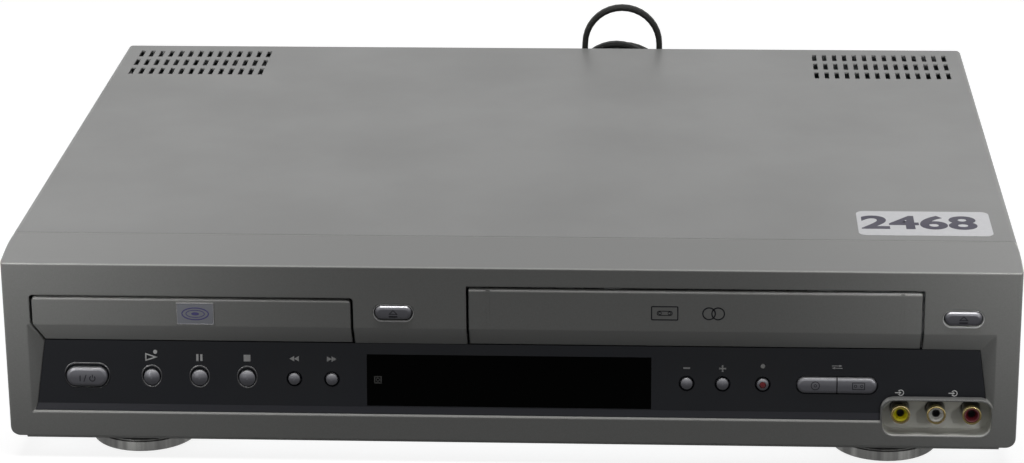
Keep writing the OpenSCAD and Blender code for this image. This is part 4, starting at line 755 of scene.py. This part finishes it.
def lead_tie():
    """A wire tie round the coil's left side, as seen from the front, that holds its rows together."""
    low, high = FIRST_ROW - 3.0, FIRST_ROW + 2 * ROW + 3.0
    tight = box_outline(10.6, high - low, 2.6)
    wide = [(x * 1.06, y * 1.035) for x, y in tight]
    rings = [[at(COIL_X - 20.5 + x, (low + high) / 2 + y, z) for x, y in outline]
             for outline, z in ((tight, 38.0), (wide, 38.8), (wide, 41.2), (tight, 42.0))]
    return piece("lead_tie", *solid(rings, band=True), "lead_jacket", smooth=True)


def plug_section(x, z, w, h, r):
    """A rectangle with round corners, across the plug's length."""
    return [at(x, PLUG_Y + a, z + b) for a, b in box_outline(w, h, r, steps=5)]


def mains_plug():
    """A moulded two-pin plug that lies on the surface: body, grip ribs, boot and sleeved pins."""
    stations = [(-20, 2.6, 3.2), (-21.5, 3.3, 4.0), (-24, 4.6, 7.0), (-28, 6.0, 9.8), (-34, 6.3, 10.6),
                (-52, 6.3, 10.6), (-54.6, 5.9, 10.2), (-56, 5.2, 9.4)]      # x, half height, half width
    forms = [solid([plug_section(x, PLUG_Z, 2 * wide, 2 * tall, tall * 0.75) for x, tall, wide in stations])]
    first_rib, rib_pitch, rib_width = -31.5, 3.4, 1.4
    for i in range(5):
        x = first_rib - rib_pitch * i
        forms.append(solid([plug_section(x - dx, PLUG_Z + 0.25, 21.6, 12.6, 4.6) for dx in (0, rib_width)]))
    pieces = [piece("plug_body", *join(*forms), "lead_jacket", smooth=True)]
    pin_x, pin_half = -55.8, 9.3              # the pins' root, and half their pitch
    sleeve = [(1.85, 0), (1.85, 10)]
    tip = [(1.6, 10), (2.0, 10.1), (2.0, 17.6), (1.6, 18.6), (0.8, 19)]
    for name, profile, slot in (("plug_sleeves", sleeve, "black_plastic"), ("plug_pins", tip, "head_metal")):
        points, faces = lathe(profile, 20)
        pair = [([at(pin_x - p.z, y + p.x, PLUG_Z + p.y) for p in points], faces)
                for y in (PLUG_Y - pin_half, PLUG_Y + pin_half)]
        pieces.append(piece(name, *join(*pair), slot, smooth=True))
    return pieces


route = lead_route()
lead = piece("mains_lead_flat", *sweep(route, flat_profile()), "lead_jacket", smooth=True)
boot = strain_relief()
tie = lead_tie()
plug = mains_plug()
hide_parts("mains_lead", "lead_coil")
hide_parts("strain_relief")
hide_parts("mains_plug")


# ---------------------------------------------------------------- prints and plates

print_white = moulded("print_white", (0.98, 0.98, 0.97), 0.6, specular=0.2, grain=4000, relief=0.1,
                      edge=0.0001)
print_dark = moulded("print_dark", (0.012, 0.012, 0.016), 0.6, specular=0.1, grain=4000, relief=0.1,
                     edge=0.0001)
PANEL_TOP = (6.0, 42.0)                       # y and z of the panel's edges, mm
PANEL_LOW = (2.2, 14.3)
PANEL_TILT = math.atan2(PANEL_TOP[0] - PANEL_LOW[0], PANEL_TOP[1] - PANEL_LOW[1])
PANEL_UP = Vector((0, math.sin(PANEL_TILT), math.cos(PANEL_TILT)))
PANEL_OUT = Vector((1, 0, 0)).cross(PANEL_UP)
LIFT = 0.03                                   # a print's thickness
CAP_LIFT = 0.02                               # and that of one on a button
PROUD = 1.5                                   # the panel's buttons stand this far out
EJECT_PROUD = 1.2                             # and the eject buttons this far
MARK = 8.8                                    # the marks' height over the row, at the large buttons
SMALL_MARK = 6.7                              # at the small ones
JACK_MARK = -2.9                              # and at the front sockets
MIDDLE_JACK = 181.05                          # x of the middle front socket
JACK_PITCH = 15.0


def on_panel(x, v, out=0.0, thick=LIFT):
    """A stamp on the control panel: v mm up its slope from the row of buttons."""
    y = PANEL_LOW[0] + (BUTTON_Z - PANEL_LOW[1]) * math.tan(PANEL_TILT)
    origin = at(x, y, BUTTON_Z) + (PANEL_UP * v + PANEL_OUT * out) * MM
    return Stamp(origin, (1, 0, 0), PANEL_UP, thick)


def on_face(x, z, out=0.0, thick=LIFT):
    """A stamp on the upright front face."""
    return Stamp(at(x, -out, z), (1, 0, 0), (0, 0, 1), thick)


def white_print(stamp, name):
    stamp.done(name, "white_plastic", material=print_white)


def dark_print(stamp, name, body):
    stamp.done(name, "black_plastic", body, print_dark)


def broken_ring(stamp, r, hole, angles, x=0.0):
    """The part of a ring about (x, 0) that lies along angles; hole is its inner radius by its outer."""
    outside, inside = ([polar(size, a, x) for a in angles] for size in (r, r * hole))
    for corners in zip(outside, outside[1:], inside[1:], inside):
        stamp.fill(corners)


def player_marks():
    """The general symbols over the panel's buttons, from play to a higher channel."""
    play = on_panel(middle_x("play_button"), MARK)
    white_print(play.line(triangle(5.4, 3.6), 0.55).fill(circle(0.9, 20, 1.6, 2.3)), "play_mark")
    pause = on_panel(middle_x("pause_button"), MARK)
    for x in (-0.85, 0.85):
        pause.fill(box_outline(1.0, 3.0, 0, x))
    white_print(pause, "pause_mark")
    white_print(on_panel(middle_x("stop_button"), MARK).fill(box_outline(2.9, 2.9)), "stop_mark")
    for name, side in (("rewind", -1), ("forward", 1)):
        mark = on_panel(middle_x(name + "_button"), MARK)
        for x in (-1.0, 1.0):
            mark.fill([(side * a + x, b) for a, b in triangle(2.1, 2.4)])
        white_print(mark, name + "_mark")
    minus = on_panel(middle_x("channel_down_button"), SMALL_MARK)
    white_print(minus.fill(box_outline(2.9, 0.75)), "minus_mark")
    plus = on_panel(middle_x("channel_up_button"), SMALL_MARK)
    arm, half = 1.5, 0.34
    plus.fill([(-arm, -half), (-half, -half), (-half, -arm), (half, -arm), (half, -half), (arm, -half),
               (arm, half), (half, half), (half, arm), (-half, arm), (-half, half), (-arm, half)])
    white_print(plus, "plus_mark")


def input_mark(name, x):
    """An arrow that enters a circle: the general symbol for an input."""
    mark = on_panel(x, JACK_MARK)
    broken_ring(mark, 1.35, 0.7, range(-150, 151, 12))
    mark.fill(box_outline(2.0, 0.42, 0, -1.5)).fill(triangle(1.0, 1.3, -0.2))
    white_print(mark, name)


def record_mark():
    """A filled circle over the record button: the general symbol for recording."""
    mark = on_panel(middle_x("record_button"), SMALL_MARK + 1.2)
    white_print(mark.fill(circle(0.95, 24)), "record_mark")


def change_mark():
    """Two opposite arrows over the select pair: the general symbol for a change of source."""
    middle = (middle_x("select_disc_button") + middle_x("select_tape_button")) / 2
    mark = on_panel(middle, SMALL_MARK + 1.2)
    for side in (-1, 1):
        for shape in ([(-2.2, 0.35), (1.0, 0.35), (1.0, 0.65), (-2.2, 0.65)],
                      [(0.9, 0), (2.2, 0.5), (0.9, 1)]):
            mark.fill([(side * x, side * y) for x, y in shape])
    white_print(mark, "change_mark")


def receiver_mark():
    """The small square over the remote control's receiver, at the window's left end."""
    mark = on_panel(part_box("display_window")[0][0] / MM + 6.2, 0, -0.05, 0.02)
    mark.line(box_outline(3.3, 3.3, 0.2), 0.55).line(circle(0.85, 20), 0.4)
    mark.done("receiver_mark", "panel_plastic",
              material=moulded("receiver_grey", (0.16, 0.16, 0.155), 0.5, specular=0.1, grain=3000))


def power_mark():
    """On and off, and a broken ring: the general symbols for power."""
    mark = on_panel(middle_x("power_button"), -0.6, PROUD, CAP_LIFT)
    mark.fill(box_outline(0.4, 2.5, 0, -2.9))
    mark.fill([(-1.5, -1.5), (-1.15, -1.5), (-0.1, 1.5), (-0.45, 1.5)])
    broken_ring(mark, 1.35, 0.72, range(125, 416, 15), 2.4)
    mark.fill(box_outline(0.36, 1.3, 0, 2.4, 1.0))
    dark_print(mark, "power_mark", "power_button")


def select_marks():
    """A disc and a cassette, for the two halves of the select button."""
    disc = on_panel(middle_x("select_disc_button"), 0, PROUD, CAP_LIFT)
    disc.line(circle(1.9), 0.32).line(circle(0.65, 20), 0.25)
    dark_print(disc, "disc_mark", "select_disc_button")
    tape = on_panel(middle_x("select_tape_button"), 0, PROUD, CAP_LIFT)
    tape.line(box_outline(5.4, 3.2, 0.3), 0.3)
    for x in (-1.3, 1.3):
        tape.line(circle(0.65, 20, x), 0.25)
    dark_print(tape, "cassette_mark", "select_tape_button")


def eject_marks():
    """A triangle over a bar on both eject buttons."""
    for name in ("disc_eject", "tape_eject"):
        mark = on_face(middle_x(name + "_button"), EJECT_Z, EJECT_PROUD, CAP_LIFT)
        mark.line([(-2.0, -0.5), (2.0, -0.5), (0.0, 1.6)], 0.32).fill(box_outline(3.6, 0.7, 0, 0, -1.5))
        dark_print(mark, name + "_mark", name + "_button")


def hole_rim(name, stamp, size, grow, shift, high, slot, material):
    """A rounded rim high mm proud, round a hole with round ends and of that size.

    grow says how far outside the hole the rim's inner and outer edges lie, (across, up) each, and
    shift how far up each edge is moved.
    """
    w, h = size
    steps = 6
    edges = [[(x * (1 + 2 * across / w), z * (1 + 2 * up / h) + move)
              for x, z in box_outline(w, h, h / 2, steps=12)] for (across, up), move in zip(grow, shift)]
    rings = []
    for k in range(steps + 1):
        t = (1 - math.cos(math.pi * k / steps)) / 2
        out = high * math.sin(math.pi * k / steps) - 0.05
        rings.append([(x1 + (x2 - x1) * t, z1 + (z2 - z1) * t, out)
                      for (x1, z1), (x2, z2) in zip(*edges)])
    stamp.add(rings, band=True).done(name, slot, material=material, smooth=True)


def hole_rims():
    """Glossy black collars at four of the panel's holes, and a near-white crescent under both eject buttons:
    a painted highlight where the holes' lower edges catch light.
    """
    gloss = rim_finish()
    large = ((7.6, 7.6), (0.75, 1.25), (0.45, 0.45))      # size, outer edge and shift
    power = ((18.7, 9.2), (0.55, 0.85), (0.4, 0.65))
    for name, (size, outer, shift) in (("play", large), ("pause", large), ("stop", large), ("power", power)):
        hole_rim(name + "_rim", on_panel(middle_x(name + "_button"), 0), size, ((0.05, 0.5), outer), shift,
                 0.35, "panel_plastic", gloss)
    # painted highlight: the crescent's near-white colour stands for light on the holes' lower edges
    silver = moulded("eject_rim_highlight", (0.93, 0.93, 0.92), 0.3, specular=0.5, relief=0.03, edge=0.0001)
    for name in ("disc_eject", "tape_eject"):
        hole_rim(name + "_rim", on_face(middle_x(name + "_button"), EJECT_Z), (16.5, 6.7),
                 ((0.05, 0.1), (0.35, 0.5)), (0.0, -0.38), 0.25, "button_plastic", silver)


def record_dot():
    """A red dot that follows the record button's crown."""
    crown = 4.25                              # the crown's radius
    edge = 1.4                                # the dot's
    radii = [edge * k / 6 for k in range(6, 0, -1)]
    profile = [(1.45, crown - 0.2)] + [(r, math.sqrt(crown ** 2 - r ** 2) + 0.03) for r in radii]
    points, faces = lathe(profile, 24)
    cap = on_panel(middle_x("record_button"), 0, PROUD - crown)
    piece("record_dot", [cap.put(*p) for p in points], faces, "red_plastic", "record_button",
          moulded("record_red", (0.22, 0.012, 0.016), 0.45, specular=0.3, grain=3000), smooth=True)


def badge():
    """The raised plate on the tray's door: lilac-grey, with a fine rim and a plain disc pattern."""
    x, z = middle_x("tray_door") + 1.9, 56.8
    lilac = moulded("badge_lilac", (0.30, 0.31, 0.35), 0.35, specular=0.4, relief=0.05)
    silver = metal("badge_silver", (0.17, 0.17, 0.175), 0.3, (1, 1, 1), 300)
    violet = moulded("badge_violet", (0.085, 0.075, 0.26), 0.4, specular=0.4, grain=3000, relief=0.05)
    face = on_face(x, z, 0.35, 0.05).fill(box_outline(15.4, 9.2, 0.3))
    face.done("badge_face", "button_plastic", "tray", lilac)
    rim = on_face(x, z, 0.35, 0.12).line(box_outline(15.8, 9.6, 0.4), 0.3)
    rim.done("badge_rim", "head_metal", "tray", silver)
    rings = on_face(x, z, 0.40, 0.03)
    for rx, ry, width in ((5.9, 2.9, 0.5), (4.1, 1.8, 0.35)):
        rings.line(circle(rx, 40, ry=ry), width)
    rings.fill(circle(1.7, 28, ry=0.7))
    rings.done("badge_rings", "button_plastic", "tray", violet)


def door_ribs():
    """Faint moulded bands near both ends of the cassette door, each with a nub on the top edge."""
    for side, name in ((-1, "left"), (1, "right")):
        band = on_face(middle_x("cassette_door") + side * 86.9, 60.0, 0.0, 0.05)
        for x in (-0.75, 0.75):
            band.fill(box_outline(0.16, 17.4, 0, x))
        band.fill(box_outline(1.6, 0.5, 0.1, 0, 8.55))
        band.done("door_rib_" + name, "bezel_plastic", "tape_door")


def door_prints():
    """Dark prints in the middle of the cassette door: a cassette, and two rings for stereo sound."""
    middle, z = middle_x("cassette_door"), 59.2
    tape = on_face(middle - 12.5, z, 0.0, 0.04)
    tape.line(box_outline(11.5, 6.4, 0.6), 0.5).line(box_outline(6.6, 2.2, 1.0), 0.35)
    for x in (-2.0, 2.0):
        tape.line(circle(0.75, 20, x), 0.3)
    dark_print(tape, "door_cassette_print", "tape_door")
    rings = on_face(middle + 8.0, z, 0.0, 0.04)
    for x in (-1.9, 1.9):
        rings.line(circle(2.9, 36, x), 0.55)
    dark_print(rings, "door_stereo_print", "tape_door")


def stock_label():
    """A white paper label with plain digits on the cover."""
    x, y, top = 177, 50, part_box("top_cover")[1][2] / MM - FOOT
    paper = Finish("label_paper", Roughness=0.55, Specular_IOR_Level=0.3)
    paper.colour(paper.drift(paper.noise(400, 4), (0.74, 0.74, 0.76), 0.03))
    paper.bump(paper.noise(1500, 3), 0.1, 0.00003)
    label = Stamp(at(x, y, top), (1, 0, 0), (0, 1, 0), 0.1)
    label.fill(box_outline(57.2, 32, 3.5)).done("stock_label", "white_plastic", material=paper.material)
    text = bpy.data.curves.new("label_digits", "FONT")
    text.body = "2468"
    text.size = 0.0285
    text.extrude = 0.00002
    text.offset = 0.0009                      # makes the digits bold
    text.align_x, text.align_y = "CENTER", "CENTER"
    text.space_character = 1.02
    text.materials.append(moulded("label_ink", (0.048, 0.044, 0.07), 0.5, specular=0.3, grain=3000))
    digits = add_object("label_digits", text)
    digits.location = at(x - 2.2, y, top + 0.12)
    digits.scale = (0.86, 0.82, 1)
    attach(digits, "case")


player_marks()
input_mark("video_input_mark", MIDDLE_JACK - JACK_PITCH)
input_mark("audio_input_mark", MIDDLE_JACK + JACK_PITCH / 2)
record_mark()
change_mark()
receiver_mark()
power_mark()
select_marks()
eject_marks()
hole_rims()
record_dot()
badge()
door_ribs()
door_prints()
stock_label()


# ---------------------------------------------------------------- the back

COVER_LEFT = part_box("top_cover")[0][0] / MM   # x of the case's left side
WIDE_SOCKETS = COVER_LEFT + 89                # x of the two wide sockets' middle


def on_back(x, z, thick, out=0.0):
    """A stamp on the rear panel, whose own X runs the other way."""
    return Stamp(at(x, REAR + out, z), (-1, 0, 0), (0, 0, 1), thick)


def rating_plate():
    """A blank plate with four rivets."""
    x, z = 152, 40
    silver = metal("plate_silver", (0.55, 0.56, 0.57), 0.35, (1, 40, 1), 60)
    plate = on_back(x, z, 0.4).fill(box_outline(62, 26, 1.5))
    plate.done("rating_plate", "head_metal", material=silver)
    rivets = on_back(x, z, 0.35, 0.4)
    for dx in (-27.5, 27.5):
        for dz in (-9.5, 9.5):
            rivets.fill(circle(1.2, 20, dx, dz))
    rivets.done("plate_rivets", "screw_steel")


def wide_socket_contacts():
    """Two rows of ten spring contacts in each wide socket."""
    contacts = on_back(0, 0, 11, -12.5)
    for z in (22, 44):
        for side in (-1, 1):
            for i in range(10):
                x = (i - 4.5) * 4.2 + side * 0.9 - WIDE_SOCKETS
                contacts.fill(box_outline(1.5, 0.5, 0, x, z + side * 5.1))
    contacts.done("wide_socket_contacts", "gold_plate")


def aerial_contacts():
    """The middle pins of the two aerial sockets."""
    points, faces = lathe([(1.15, -1), (1.15, 6.4), (0.7, 7.2)], 20)
    pins = [([at(x + p.x, REAR + p.z, 24 + p.y) for p in points], faces)
            for x in (COVER_LEFT + 23, COVER_LEFT + 43)]
    piece("aerial_contacts", *join(*pins), "gold_plate", smooth=True)


rating_plate()
wide_socket_contacts()
aerial_contacts()


# ---------------------------------------------------------------- floor, light and world

BOUNCE_GREY, SEEN_GREY = (0.11, 0.11, 0.11, 1), (0.33, 0.33, 0.33, 1)
FLOOR_GLOW = 0.86                             # lifts the seen floor to a pale tone, shadow and all
SKY = 0.085                                   # the sky's light on the object


def seen_factor(nodes, links):
    """1 for what the camera, a mirror or a glass sees; 0 for light that bounces about."""
    path = nodes.new("ShaderNodeLightPath")
    total = path.outputs["Is Camera Ray"]
    for name in ("Is Glossy Ray", "Is Transmission Ray"):
        more = nodes.new("ShaderNodeMath")
        more.operation = "MAXIMUM"
        links.new(total, more.inputs[0])
        links.new(path.outputs[name], more.inputs[1])
        total = more.outputs[0]
    return total


def floor():
    """A pale floor that keeps the object's shadow, and throws little light back up."""
    mesh = bpy.data.meshes.new("floor")
    mesh.from_pydata([(-8, -8, 0), (8, -8, 0), (8, 8, 0), (-8, 8, 0)], [], [(0, 1, 2, 3)])
    obj = add_object("floor", mesh)
    obj.location.z = -0.0003
    material = bpy.data.materials.new("floor")
    material.use_nodes = True
    nodes, links = material.node_tree.nodes, material.node_tree.links
    nodes.clear()
    bounce, pale, glow, both, choice, out = (nodes.new("ShaderNode" + kind) for kind in (
        "BsdfDiffuse", "BsdfDiffuse", "Emission", "AddShader", "MixShader", "OutputMaterial"))
    bounce.inputs["Color"].default_value = BOUNCE_GREY
    pale.inputs["Color"].default_value = SEEN_GREY
    glow.inputs["Strength"].default_value = FLOOR_GLOW
    links.new(pale.outputs[0], both.inputs[0])
    links.new(glow.outputs[0], both.inputs[1])
    links.new(seen_factor(nodes, links), choice.inputs["Fac"])
    links.new(bounce.outputs[0], choice.inputs[1])
    links.new(both.outputs[0], choice.inputs[2])
    links.new(choice.outputs[0], out.inputs["Surface"])
    mesh.materials.append(material)


def world():
    """White where it is seen, and a weak even sky for the light that falls on the object."""
    sky = bpy.data.worlds.new("studio")
    bpy.context.scene.world = sky
    sky.use_nodes = True
    nodes, links = sky.node_tree.nodes, sky.node_tree.links
    background = nodes["Background"]
    background.inputs["Color"].default_value = (1, 1, 1, 1)
    strength = nodes.new("ShaderNodeMapRange")
    strength.inputs["To Min"].default_value = SKY
    strength.inputs["To Max"].default_value = 1.0
    links.new(seen_factor(nodes, links), strength.inputs["Value"])
    links.new(strength.outputs[0], background.inputs["Strength"])


def lamp(name, place, target, size, watts, spread=180):
    """A rectangular lamp that is aimed at target; spread is its beam's full angle in degrees."""
    data = bpy.data.lights.new(name, "AREA")
    data.shape = "RECTANGLE"
    data.size, data.size_y = size
    data.energy = watts
    data.spread = math.radians(spread)
    obj = add_object(name, data)
    obj.location = place
    obj.rotation_euler = (Vector(target) - Vector(place)).to_track_quat("-Z", "Y").to_euler()


floor()
world()
lamp("key", (0.0, -0.34, 2.1), (0, 0, 0.09), (1.7, 0.7), 24.5)
lamp("left_fill", (-0.42, -0.62, 0.25), (-0.255, -0.16, 0.16), (0.08, 0.08), 0.088, spread=36)
lamp("right_fill", (0.42, -0.62, 0.25), (0.285, -0.16, 0.155), (0.08, 0.08), 0.09, spread=36)

bpy.context.scene.view_settings.view_transform = "Standard"
